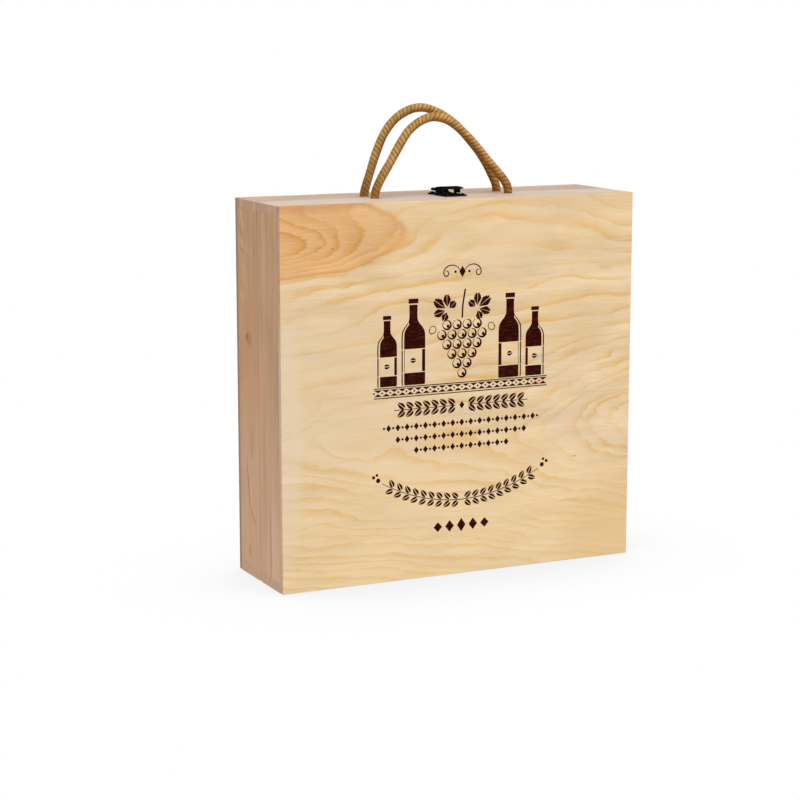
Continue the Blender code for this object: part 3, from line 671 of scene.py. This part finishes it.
def strand_outline():
    """One turn of the rope's outline: for each point its offset across the rope."""
    flank = math.tan(math.pi / STRANDS)
    lean = math.hypot(STRAND_SPREAD, flank * STRAND_RISE)
    meet = math.atan2(flank * STRAND_RISE, STRAND_SPREAD) + math.asin(flank * STRAND_ORBIT / lean)
    outline = []
    for strand in range(STRANDS):
        turn = 2 * math.pi * strand / STRANDS
        for step in range(STRAND_STEPS):
            angle = meet * (2 * (step / STRAND_STEPS) - 1)
            out = STRAND_ORBIT + STRAND_RISE * math.cos(angle)
            side = STRAND_SPREAD * math.sin(angle)
            outline.append(complex(out, side) * complex(math.cos(turn), math.sin(turn)))
    return outline


def lay_rope(name, points, material, seed):
    """A rope's skin along evenly spaced points, closed at both ends and a little uneven, as if laid by hand."""
    outline = strand_outline()
    work = bmesh.new()
    uv = work.loops.layers.uv.new("lay")
    # A second set of coordinates that places painted shade on the rope
    worn = work.loops.layers.uv.new("worn")
    middle = sum(points, Vector()) / len(points)
    whole = sum((b - a).length for a, b in zip(points, points[1:]))
    across = None
    travelled = 0.0
    painted_light_and_wear = {}
    rings = []
    for i, point in enumerate(points):
        ahead = (points[min(i + 1, len(points) - 1)] - points[max(i - 1, 0)]).normalized()
        across = across or ahead.orthogonal().normalized()
        across = (across - ahead * across.dot(ahead)).normalized()
        up = ahead.cross(across)
        if i:
            travelled += (point - points[i - 1]).length
        wave = travelled / UNEVEN_REACH
        turn = 2 * math.pi * (UNEVEN_TWIST * noise.noise((wave, seed, 0.0)) - travelled / LAY)
        girth = 1.0 + UNEVEN_GIRTH * noise.noise((wave, 0.0, seed))
        twist = girth * complex(math.cos(turn), math.sin(turn))
        # For the painted shade: which way a point looks towards the arch's middle, and how far it is from an
        # end
        inwards = middle - point
        inwards = (inwards - ahead * inwards.dot(ahead)).normalized()
        to_end = min(travelled, whole - travelled) / MM
        ring = []
        for offset in outline:
            turned = offset * twist
            away = across * turned.real + up * turned.imag
            corner = work.verts.new(point + away)
            ring.append(corner)
            painted_light_and_wear[corner] = (inwards.dot(away) / abs(offset), to_end)
        rings.append((ring, travelled / MM))
    count = len(outline)
    for (low, low_at), (high, high_at) in zip(rings, rings[1:]):
        for k in range(count):
            after = (k + 1) % count
            face = work.faces.new((low[k], low[after], high[after], high[k]))
            face.smooth = True
            corners = ((low_at, k), (low_at, k + 1), (high_at, k + 1), (high_at, k))
            for loop, (along, column) in zip(face.loops, corners):
                loop[uv].uv = (along, column / STRAND_STEPS)
                loop[worn].uv = painted_light_and_wear[loop.vert]
    work.faces.new(list(reversed(rings[0][0])))
    work.faces.new(rings[-1][0])
    return settle(name, work, material)


print("a ring has", len(strand_outline()), "points, one every", RING_SPACING / MM, "mm")

# %% [markdown]
# ## The colour of jute
# Jute is a golden tan. The grooves where strands press together are darker, as painted shade. Its yarns show as
# fine lines that run almost straight along the rope, because strands are spun the other way from the lay, and
# they get a little painted shade between them. A colour painted by the place across a strand gives both. The
# inside of the arch and the ends by the holes get painted shade too, so a second set of coordinates tells which
# way a point looks and how far it is from the rope's end.

# %% Jute
JUTE_LIGHT = (0.625, 0.36, 0.112)
# The dark end of the jute: painted shade in the grooves and between yarns, and the tone of dark hairs
JUTE_DARK = (0.17, 0.060, 0.008)
# The tint of the painted shade on the inside of the arch and near the ends
PAINTED_SHADE_TINT = (0.60, 0.43, 0.20)
YARNS_ACROSS = 7.0
YARN_TILT = 0.82


def jute():
    """Jute for a rope whose mesh has two sets of coordinates: lay, and one that places painted shade."""
    recipe = Recipe(bpy.data.materials.new("jute"))
    along, across, _ = recipe.split(recipe.node("ShaderNodeUVMap", uv_map="lay").outputs[0])
    from_crest = recipe.sum("ABSOLUTE", recipe.sum("SUBTRACT", recipe.sum("FRACT", across), 0.5))
    # Painted shade: darker in the groove where two strands press together
    groove_shade = recipe.step(from_crest, 0.1, 0.5)
    straight = recipe.sum("MULTIPLY_ADD", along, -YARN_TILT * STRANDS * MM / LAY, across)
    wobble = recipe.noise(recipe.join(along, across), (3.0, 0.6, 1.0), 2.0)
    wobble = recipe.sum("MULTIPLY", wobble, 5.0)
    phase = recipe.sum("MULTIPLY_ADD", straight, YARNS_ACROSS * 2 * math.pi, wobble)
    yarn = recipe.sum("MULTIPLY_ADD", recipe.sum("SINE", phase), 0.5, 0.5)
    hair = recipe.noise(recipe.join(along, straight), (2.2, 0.05, 1.0), 3.0, 0.7)
    patch = recipe.noise(recipe.join(along, across), (14.0, 2.0, 1.0), 2.0)
    # A little painted shade between the yarns
    yarn_gap_shade = recipe.sum("MULTIPLY", recipe.sum("SUBTRACT", 1.0, yarn), 0.22)
    depth = recipe.sum("MULTIPLY_ADD", groove_shade, 0.55, yarn_gap_shade)
    depth = recipe.sum("ADD", depth, recipe.step(hair, 0.35, 0.75, -0.2, 0.36), clamp=True)
    colour = recipe.mix(depth, JUTE_LIGHT, JUTE_DARK)
    colour = recipe.shade(colour, recipe.step(patch, 0.35, 0.7, 0.86, 1.2))
    inwards, from_end, _ = recipe.split(recipe.node("ShaderNodeUVMap", uv_map="worn").outputs[0])
    # Painted shade on the inside of the arch, and near the ends where the rope goes into its holes
    shade_by_the_hole = recipe.step(from_end, 14.0, 44.0, 0.8, 0.0)
    painted_shade = recipe.sum("MAXIMUM", recipe.step(inwards, -0.35, 0.85), shade_by_the_hole)
    colour = recipe.mix(painted_shade, colour, recipe.mix(1.0, colour, PAINTED_SHADE_TINT, "MULTIPLY"))
    relief = recipe.sum("MULTIPLY_ADD", hair, 0.5, yarn)
    normal = recipe.bump(relief, 0.00025, 0.7)
    return recipe.finish(base_color=colour, roughness=0.82, specular_ior_level=0.25, normal=normal)


rope_jute = jute()
print("jute ready, with", int(YARNS_ACROSS), "yarns across a strand")

# %% [markdown]
# ## Handles and knots
# Under each hole a knot keeps the rope from slipping out. It is hidden until the box is opened, yet it is the
# same skin, laid along a tighter route: straight down, then round itself.

# %% Lay the two handles and tie their knots
KNOT_WRAPS = 1.6
KNOT_ORBIT = 5.55 * MM
KNOT_CLEARANCE = 0.35 * MM


def knot_points(centre, top, foot):
    """A stopper knot: the rope goes straight down, turns back at the foot and climbs round itself."""
    radius = ROPE_DIAMETER / 2
    points = [(0.0, 0.0, top), (0.0, 0.0, (top + foot) / 2), (0.6 * MM, 0.0, foot + radius + 2.2 * MM)]
    steps = round(KNOT_WRAPS * 10)
    low = foot + radius
    climb = top - radius - low
    for step in range(steps + 1):
        angle = 0.5 + 2 * math.pi * KNOT_WRAPS * step / steps
        orbit = KNOT_ORBIT * min(1.0, 0.55 + 0.45 * step / 2)
        points.append((orbit * math.cos(angle), orbit * math.sin(angle), low + climb * step / steps))
    return [Vector(p) + Vector((centre.x, centre.y, 0.0)) for p in points]


def handle(half, arch, lean):
    """One rope handle: its arch from hole to hole, and a knot under each hole."""
    low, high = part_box(f"{half}_rope_left_end")
    left = (low + high) / 2
    right = Vector((-left.x, left.y, left.z))
    pivot = board_top + PIVOT_RISE
    route = [Vector((left.x, left.y, board_foot)), Vector((left.x, left.y, pivot))]
    for x, rise in arch:
        route.append(Vector((x, left.y + rise * math.sin(lean), pivot + rise * math.cos(lean))))
    route += [Vector((right.x, right.y, pivot)), Vector((right.x, right.y, board_foot))]
    path, length = smooth(route, RING_SPACING)
    rope = lay_rope(f"{half}_handle_rope", path, rope_jute, left.y / ROPE_DIAMETER)
    for side, hole in (("left", left), ("right", right)):
        points, _ = smooth(knot_points(hole, board_foot - KNOT_CLEARANCE, low.z), RING_SPACING)
        knot = lay_rope(f"{half}_{side}_knot", points, rope_jute, hole.x / ROPE_DIAMETER)
        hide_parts(f"{half}_rope_{side}_end")
        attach(knot, f"{half}_half")
    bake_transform(rope)
    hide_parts(f"{half}_rope")
    return length


for half, arch, lean in (("back", BACK_ARCH, BACK_LEAN), ("front", FRONT_ARCH, FRONT_LEAN)):
    print(half, "handle:", round(handle(half, arch, lean) / MM), "mm of rope between its two knots")

# %% [markdown]
# ## Blackened and plated metal
# The latch is thin steel with a black coat, bent in a press. The coat has no gloss, and its thin edges get a
# grey-blue that is both bare metal and a painted highlight. The Bevel node finds edges without a painted mask:
# it rounds the normal near them, and the angle between that and the true normal is the wear. The hinges are
# plated a dull silver and wear the same way.

# %% Metals
BLACK_COAT = (0.005, 0.0045, 0.004)
# On the latch, whose coat has no gloss, this edge colour is both bare steel and a painted highlight
BARE_STEEL_AND_HIGHLIGHT = (0.15, 0.155, 0.17)
PLATING = (0.60, 0.58, 0.54)
BRIGHT_PLATING = (0.78, 0.77, 0.74)
WEAR_RADIUS = 0.0003


def worn_metal(name, coat, bare, coat_roughness, metallic, gloss):
    """Metal with a coat, or bright metal, rubbed along its edges and smeared a little. On a coat with no gloss
    the edge colour is also a painted highlight.
    """
    recipe = Recipe(bpy.data.materials.new(name))
    place = recipe.place()
    rounded = recipe.node("ShaderNodeBevel", samples=6)
    rounded.inputs["Radius"].default_value = WEAR_RADIUS
    true_normal = recipe.node("ShaderNodeNewGeometry").outputs["Normal"]
    turned = recipe.sum("SUBTRACT", 1.0, recipe.dot(rounded.outputs[0], true_normal))
    grit = recipe.noise(place, (0.8, 0.8, 0.8), 3.0, 0.65)
    # The edge mask: wear, and on the glossless latch also a painted highlight
    painted_light_and_wear = recipe.step(recipe.sum("MULTIPLY_ADD", grit, 0.22, turned), 0.17, 0.34)
    smear = recipe.noise(place, (5.0, 2.0, 3.0), 2.0)
    return recipe.finish(
        base_color=recipe.mix(painted_light_and_wear, coat, bare), metallic=metallic, specular_ior_level=gloss,
        roughness=recipe.sum("MULTIPLY_ADD", smear, 0.3, coat_roughness - 0.15),
        normal=recipe.bump(grit, 0.00008, 0.3),
    )


latch_black = worn_metal("latch_black", BLACK_COAT, BARE_STEEL_AND_HIGHLIGHT, 0.5, 0.0, 0.0)
hinge_plated = worn_metal("hinge_plated", PLATING, BRIGHT_PLATING, 0.36, 1.0, 0.5)
latch_names = [name for name in nodes if name.startswith("latch")]
hinge_names = [name for name in nodes if "hinge" in name]
print(dress(latch_black, *latch_names), "latch pieces,", dress(hinge_plated, *hinge_names), "hinge pieces")

# %% [markdown]
# ## The printed front
# The front of such a box is printed in one dark red ink. This print is a design of its own: a bunch of grapes
# between bottles, with bands of leaves under it. It could be a texture, but shapes from short formulas stay
# sharp at any distance. Each shape is a thin film of ink on the wood, either a filled outline or a stroke with
# a width, and no two of them overlap.

# %% Pen and stencil
INK_THICKNESS = 0.00003
THINNEST = 0.06
front_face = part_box("front_panel")[0].y
ink = bmesh.new()


def at(x, z):
    """The point on the front panel that lies x millimetres right of its middle and z above the floor."""
    return Vector((x * MM, front_face - INK_THICKNESS, z * MM))


def polar(x, z, radius, degrees, side=1):
    """The point at a radius and an angle from (x, z), mirrored for side -1."""
    angle = math.radians(degrees)
    return x + side * radius * math.cos(angle), z + radius * math.sin(angle)


def fill(points):
    """A filled outline."""
    return ink.faces.new([ink.verts.new(at(x, z)) for x, z in points])


def both(draw, x, *rest, **more):
    """Draws a motif and its mirror image."""
    for side in (-1, 1):
        draw(side * x, *rest, side=side, **more)


def ribbon(pairs):
    """A filled strip through pairs of points, one on each of its edges."""
    corners = [[ink.verts.new(at(x, z)) for x, z in pair] for pair in pairs]
    for (a, b), (c, d) in zip(corners, corners[1:]):
        ink.faces.new((a, b, d, c))


def stroke(points, width, taper=0.0):
    """A line of ink. Taper makes its ends narrower, down to a point at 1."""
    last = len(points) - 1
    pairs = []
    for i, (x, z) in enumerate(points):
        before, after = points[max(i - 1, 0)], points[min(i + 1, last)]
        dx, dz = after[0] - before[0], after[1] - before[1]
        share = 1.0 - taper * abs(2.0 * i / last - 1.0) ** 3
        half = 0.5 * width * max(share, THINNEST) / math.hypot(dx, dz)
        pairs.append(((x - dz * half, z + dx * half), (x + dz * half, z - dx * half)))
    ribbon(pairs)


def bend(points, spacing=0.8):
    """A smooth line through points on the front, in millimetres."""
    return [tuple(p) for p in smooth(points, spacing)[0]]


def disc(x, z, radius, side=1, steps=20):
    fill([polar(x, z, radius, turn) for turn in np.linspace(0, 360, steps, False)])


def diamond(x, z, wide, high):
    fill([(x + wide, z), (x, z + high), (x - wide, z), (x, z - high)])


def leaflet(x, z, length, width, angle, side=1):
    """A pointed oval leaf that grows from (x, z), with its vein left bare."""
    turn = complex(math.cos(angle), math.sin(angle))
    for edge in (-1, 1):
        rim = [(t, edge * (0.5 * width * math.sin(math.pi * t**0.8))) for t in np.linspace(0, 1, 9)]
        vein = [(t, edge * min(0.09 * width, 0.3)) for t in np.linspace(0.9, 0.12, 2)]
        points = [complex(t * length, w) * turn for t, w in rim[1:-1] + vein]
        fill([(x + side * p.real, z + p.imag) for p in points])


print("pen and stencil ready; the front face lies at y", round(front_face / MM, 1), "mm")

# %% [markdown]
# ## Grapes and vine leaves
# A bunch of grapes reads by its round berries, in rows that are set half a berry apart, and by its outline,
# wide above and narrow below. A leaf is five toothed lobes round one stalk.

# %% Grapes, vine leaves and curls
VIGNETTE_TOP = 262.0
GRAPE = 4.7
GRAPE_RING = 1.25
GRAPE_SWELL = 0.55
GRAPE_PITCH = 10.2
LOBES = ((-105, 30, 0.66), (-52, 24, 0.86), (0, 24, 1.0), (52, 24, 0.86), (105, 30, 0.66))


def grape(x, z):
    """A round berry: a ring that swells at its lower right, and a dark spot."""
    turns = np.linspace(115, 115 + 340, 26)
    rim = [polar(x, z, GRAPE, turn) for turn in turns]
    hollow = [polar(x - GRAPE_SWELL, z + GRAPE_SWELL, GRAPE - GRAPE_RING, turn) for turn in turns[::-1]]
    fill(rim + hollow)
    disc(x + 0.9, z - 0.9, 1.5, steps=14)


def bunch(z_top, rows):
    """Rows of berries, with these numbers of them from the top down."""
    for row, count in enumerate(rows):
        for k in range(count):
            grape((k - (count - 1) / 2) * GRAPE_PITCH, z_top - row * GRAPE_PITCH * 0.87)


def vine_leaf(x, z, size, tilt, side=1):
    """A vine leaf in five toothed lobes, with the veins between them left bare."""
    for middle, spread, reach in LOBES:
        aim = tilt + middle
        edge = []
        for t in np.linspace(-1, 1, 15):
            tooth = 0.07 * (1 - abs(t)) * (1 if round((t + 1) * 7) % 2 else -1)
            edge.append((reach * (1.0 - 0.36 * abs(t) ** 1.4 + tooth), t * spread))
        for way in (-1, 1):
            hub = polar(x, z, size * 0.14, aim + way * 2.0, side)
            tip = polar(x, z, size * reach * 0.95, aim + way, side)
            part = [polar(x, z, size * radius, aim + turn, side) for radius, turn in edge if way * turn > 1.0]
            fill([hub, tip] + part if way > 0 else [hub] + part + [tip])


def tendril(x, z, reach, side=1):
    """A curl that winds inwards."""
    points = []
    for t in np.linspace(0, 1, 40):
        radius = reach * (1 - t) ** 0.8 * 0.5 + 0.5
        points.append(polar(x + side * reach * 0.5 * t, z, radius, -60 + 560 * t, side))
    stroke(points, 0.75, taper=0.8)


bunch(VIGNETTE_TOP - 30.0, (4, 5, 4, 3, 2, 1))
both(vine_leaf, 15.0, VIGNETTE_TOP - 16.0, 17.0, 35.0)
stroke(bend([(0.0, VIGNETTE_TOP - 24.0), (0.6, VIGNETTE_TOP - 12.0), (3.0, VIGNETTE_TOP + 2.0)]), 1.6)
both(tendril, 28.0, VIGNETTE_TOP - 34.0, 9.0)
print("grapes and leaves drawn:", len(ink.faces), "films of ink")

# %% [markdown]
# ## Bottles on a border
# Two bottles stand on each side of the grapes. Their glass is ink, and the label and a thin glint stay bare
# wood. A filled outline can't have a hole, so a bottle is drawn as bands between a left and a right edge.

# %% Bottles and their border
BOTTLE_FOOT = 180.0


def band(left, right, z):
    """A filled band between a left and a right edge, at the heights z. An upright edge is a single number."""
    ribbon([((a, height), (b, height)) for a, b, height in zip(*np.broadcast_arrays(left, right, z))])


def bottle(x, foot, height, side=1):
    """A dark bottle with a bare label, and a bare glint along its outer side."""
    body, neck, cap = height * 0.15, height * 0.052, height * 0.0624
    profile = [
        (body * 0.93, 0.0), (body, height * 0.02), (body, height * 0.30), (body, height * 0.57),
        (body * 0.86, height * 0.65), (neck * 1.3, height * 0.73), (neck, height * 0.79), (neck, height * 0.93),
    ]
    curve = bend(profile, 0.7)
    low, high, label = height * 0.15, height * 0.42, side * body * 0.74
    for start, end in ((0.0, low), (low, high), (high, height)):
        half, up = np.array([(w, h) for w, h in curve if start <= h <= end]).T
        glint = np.clip(1.4 * (half - cap), 0.0, 2.6)
        inner = x + side * (half - glint)
        band(x + side * (half - 0.45 * glint), x + side * half, foot + up)
        if start == low:
            band(x - label, x - side * half, foot + up)
            band(inner, x + label, foot + up)
        else:
            band(x - side * half, inner, foot + up)
    band(x - cap, x + cap, [foot + height * 0.945, foot + height])
    leaflet(x - 3.4, foot + (low + high) / 2, 6.8, 4.6, 0.0)


def frieze(half_width, low, high, pitch):
    """A dark border with a row of bare lozenges, each with a dot in it."""
    middle = (low + high) / 2
    for k in range(round(-half_width / pitch), round(half_width / pitch)):
        left, right = k * pitch, (k + 1) * pitch
        centre = (left + right) / 2
        for edge in (low, high):
            fill([(left, edge), (right, edge), (centre, middle + 0.12 * (edge - middle))])
        disc(left, middle, 0.9, steps=12)
    for edge in (low - 1.6, high + 1.2):
        stroke([(-half_width, edge), (0.0, edge), (half_width, edge)], 0.9)


both(bottle, 49.0, BOTTLE_FOOT, 78.0)
both(bottle, 75.0, BOTTLE_FOOT, 64.0)
frieze(88.0, 171.5, 177.5, 8.0)
print("bottles and border drawn:", len(ink.faces), "films of ink so far")

# %% [markdown]
# ## Bands of leaves and lozenges
# Below the picture come lines of different weight, set to one middle: a band of laurel, three rows of lozenges
# that grow shorter, a garland and five larger lozenges. Each repeats one small motif at a pitch.

# %% Bands of leaves and lozenges
def scroll(x, z, reach, side=1):
    """A line that rolls up inwards, for the top of the print."""
    points = []
    for t in np.linspace(0, 1, 36):
        radius = reach * (0.42 * (1 - t) + 0.06)
        hub = x - side * reach * 0.55 * (1 - t) ** 2
        points.append(polar(hub, z, radius, 200 - 480 * t, side))
    stroke(points, 1.1, taper=0.7)


def laurel_half(x, z, half_width, pitch, size, side=1):
    """Paired leaves along a stalk, from x outwards."""
    stroke([(x, z), (side * half_width / 2, z), (side * half_width, z)], 0.7)
    place = abs(x) + 0.6
    while place < half_width - size * 0.5:
        for turn in (-1, 1):
            leaflet(side * place, z + turn * 0.65, size, size * 0.52, turn * math.radians(38), side=side)
        place += pitch


def laurel(z, half_width, pitch, size, start=6.0):
    """A band of paired leaves that grows outwards from a lozenge."""
    diamond(0.0, z, 2.6, 3.6)
    both(laurel_half, start, z, half_width, pitch, size)


def beads(z, half_width, pitch):
    """A row of lozenges with a dot between each two."""
    count = int(half_width / pitch)
    for k in range(-count, count + 1):
        if k % 2:
            disc(k * pitch, z, 1.15, steps=12)
        else:
            diamond(k * pitch, z, 2.5, 3.3)


def swag(half_width, z_high, dip):
    """A hanging garland of leaves with three berries at each fastening."""
    def height(x):
        return z_high - dip * (1 - (x / half_width) ** 2)

    line = [(x, height(x)) for x in np.linspace(-half_width + 4, half_width - 4, 60)]
    stroke(line, 0.8, taper=0.3)
    for side in (-1, 1):
        place = 3.0
        while place < half_width - 10.0:
            slope = math.atan(2 * dip * place / half_width**2)
            for turn in (-1, 1):
                angle = slope + turn * math.radians(40)
                leaflet(side * place, height(place) + turn * 0.9, 9.6, 5.0, angle, side=side)
            place += 8.2
        for out, up, radius in ((0.0, 1.0, 2.1), (4.6, 4.2, 1.5), (1.2, 6.2, 1.3)):
            disc(side * (half_width + out), z_high + up, radius)


both(scroll, 17.0, 280.0, 16.0)
diamond(0.0, 280.0, 3.2, 5.2)
both(disc, 7.0, 280.0, 1.2)
laurel(158.0, 68.0, 8.4, 10.4)
for z, half_width in ((142.0, 80.0), (131.0, 65.0), (120.0, 50.0)):
    beads(z, half_width, 4.6)
swag(84.0, 94.0, 24.0)
for k in range(-2, 3):
    diamond(k * 12.0, 46.0, 4.4, 6.4 - abs(k) * 0.9)
print("print drawn:", len(ink.faces), "films of ink")

# %% [markdown]
# ## Ink on wood
# Screen ink on raw pine is dark and dull, and a flat red would look pasted on. So a noise that is long along
# the fibre thins the ink in places, and the films get a thickness of their own.

# %% Ink
INK = (0.022, 0.0015, 0.001)
THIN_INK = (0.12, 0.030, 0.018)


def screen_ink():
    """Ink that lets a little of the grain show where the wood took it up badly."""
    recipe = Recipe(bpy.data.materials.new("screen_ink"))
    place = recipe.place()
    fibres = recipe.noise(place, (9.0, 9.0, 0.35), 3.0, 0.6)
    specks = recipe.noise(place, (0.6, 0.6, 0.6), 2.0)
    thin = recipe.step(recipe.sum("MULTIPLY_ADD", specks, 0.45, fibres), 0.68, 0.98)
    return recipe.finish(base_color=recipe.mix(thin, INK, THIN_INK), roughness=0.6, specular_ior_level=0.0)


def print_sheet():
    """Everything drawn so far, as films of ink that look outwards."""
    bmesh.ops.recalc_face_normals(ink, faces=ink.faces)
    for face in ink.faces:
        if face.normal.y > 0:
            face.normal_flip()
    sheet = settle("front_print", ink, screen_ink())
    film = sheet.modifiers.new("film", "SOLIDIFY")
    film.thickness = INK_THICKNESS
    film.offset = -1.0
    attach(sheet, "front_half")
    return sheet


print(print_sheet().name, "lies", INK_THICKNESS / MM, "mm thick on the front panel")

# %% [markdown]
# ## Floor and light
# A catalogue picture is cut out on white. A white world gives that without burning the wood, because only the
# camera and shiny things see it at full strength. Three large soft lamps do the rest: the key from the front
# right, one overhead, and a weak one from the left. The front half opens past the level of the floor, and a
# solid floor would hide it. So the floor is clear, and only a soft shadow is seen of it, where the Ambient
# Occlusion node finds that the object takes some of the sky.

# %% White surroundings
WORLD_LIGHT = 0.5
FLOOR_SIZE = 6.0
SHADOW_REACH = 0.16
SHADOW_DEPTH = 0.14
LAMP_AIM = Vector((0.0, 0.0, 0.17))
# Azimuth and elevation in degrees, distance and size in metres, power in watts
LAMPS = {
    "key": (22.0, 10.0, 3.6, 2.2, 59.0),
    "overhead": (0.0, 80.0, 2.6, 1.6, 22.0),
    "fill": (-70.0, -4.0, 2.6, 1.6, 7.0),
}


def white_world():
    """White where the camera or a shiny thing sees it, and weaker as a light on the wood."""
    sky = Recipe(bpy.data.worlds.new("white"))
    bpy.context.scene.world = sky.owner
    ray = sky.node("ShaderNodeLightPath").outputs
    seen = sky.sum("MAXIMUM", ray["Is Camera Ray"], ray["Is Glossy Ray"])
    seen = sky.sum("MAXIMUM", seen, ray["Is Transmission Ray"])
    background = sky.tree.nodes["Background"].inputs
    sky.feed(background["Color"], (1.0, 1.0, 1.0, 1.0))
    sky.feed(background["Strength"], sky.sum("MULTIPLY_ADD", seen, 1.0 - WORLD_LIGHT, WORLD_LIGHT))


def floor():
    """A white floor that the camera looks through, darker only where the object stands close above it."""
    bpy.ops.mesh.primitive_plane_add(size=FLOOR_SIZE, location=(0.0, 0.0, 0.0))
    ground = bpy.context.active_object
    ground.name = "floor"
    recipe = Recipe(bpy.data.materials.new("floor_white"))
    near = recipe.node("ShaderNodeAmbientOcclusion", samples=16)
    near.inputs["Distance"].default_value = SHADOW_REACH
    shade = recipe.step(near.outputs["AO"], 0.3, 1.0, 1.0 - SHADOW_DEPTH, 1.0)
    by_camera = recipe.node("ShaderNodeLightPath").outputs["Is Camera Ray"]
    colour = recipe.mix(by_camera, (1.0, 1.0, 1.0), recipe.join(shade, shade, shade))
    clear = recipe.node("ShaderNodeBsdfTransparent", (colour,))
    recipe.feed(recipe.tree.nodes["Material Output"].inputs["Surface"], clear.outputs[0])
    recipe.tree.nodes.remove(recipe.tree.nodes["Principled BSDF"])
    ground.data.materials.append(recipe.owner)
    return ground


def softbox(name, azimuth, elevation, distance, size, power):
    """A large square lamp that is aimed at the middle of the box."""
    lamp_data = bpy.data.lights.new(name, "AREA")
    lamp_data.shape = "SQUARE"
    lamp_data.size = size
    lamp_data.energy = power
    stand_off(put_in_scene(name, lamp_data), LAMP_AIM, azimuth, elevation, distance)


white_world()
floor()
for name, facts in LAMPS.items():
    softbox(name, *facts)
print("white world, clear floor and", len(LAMPS), "soft lamps")

# %% [markdown]
# ## Closing the lesson
# The looks must not change the size of the box.
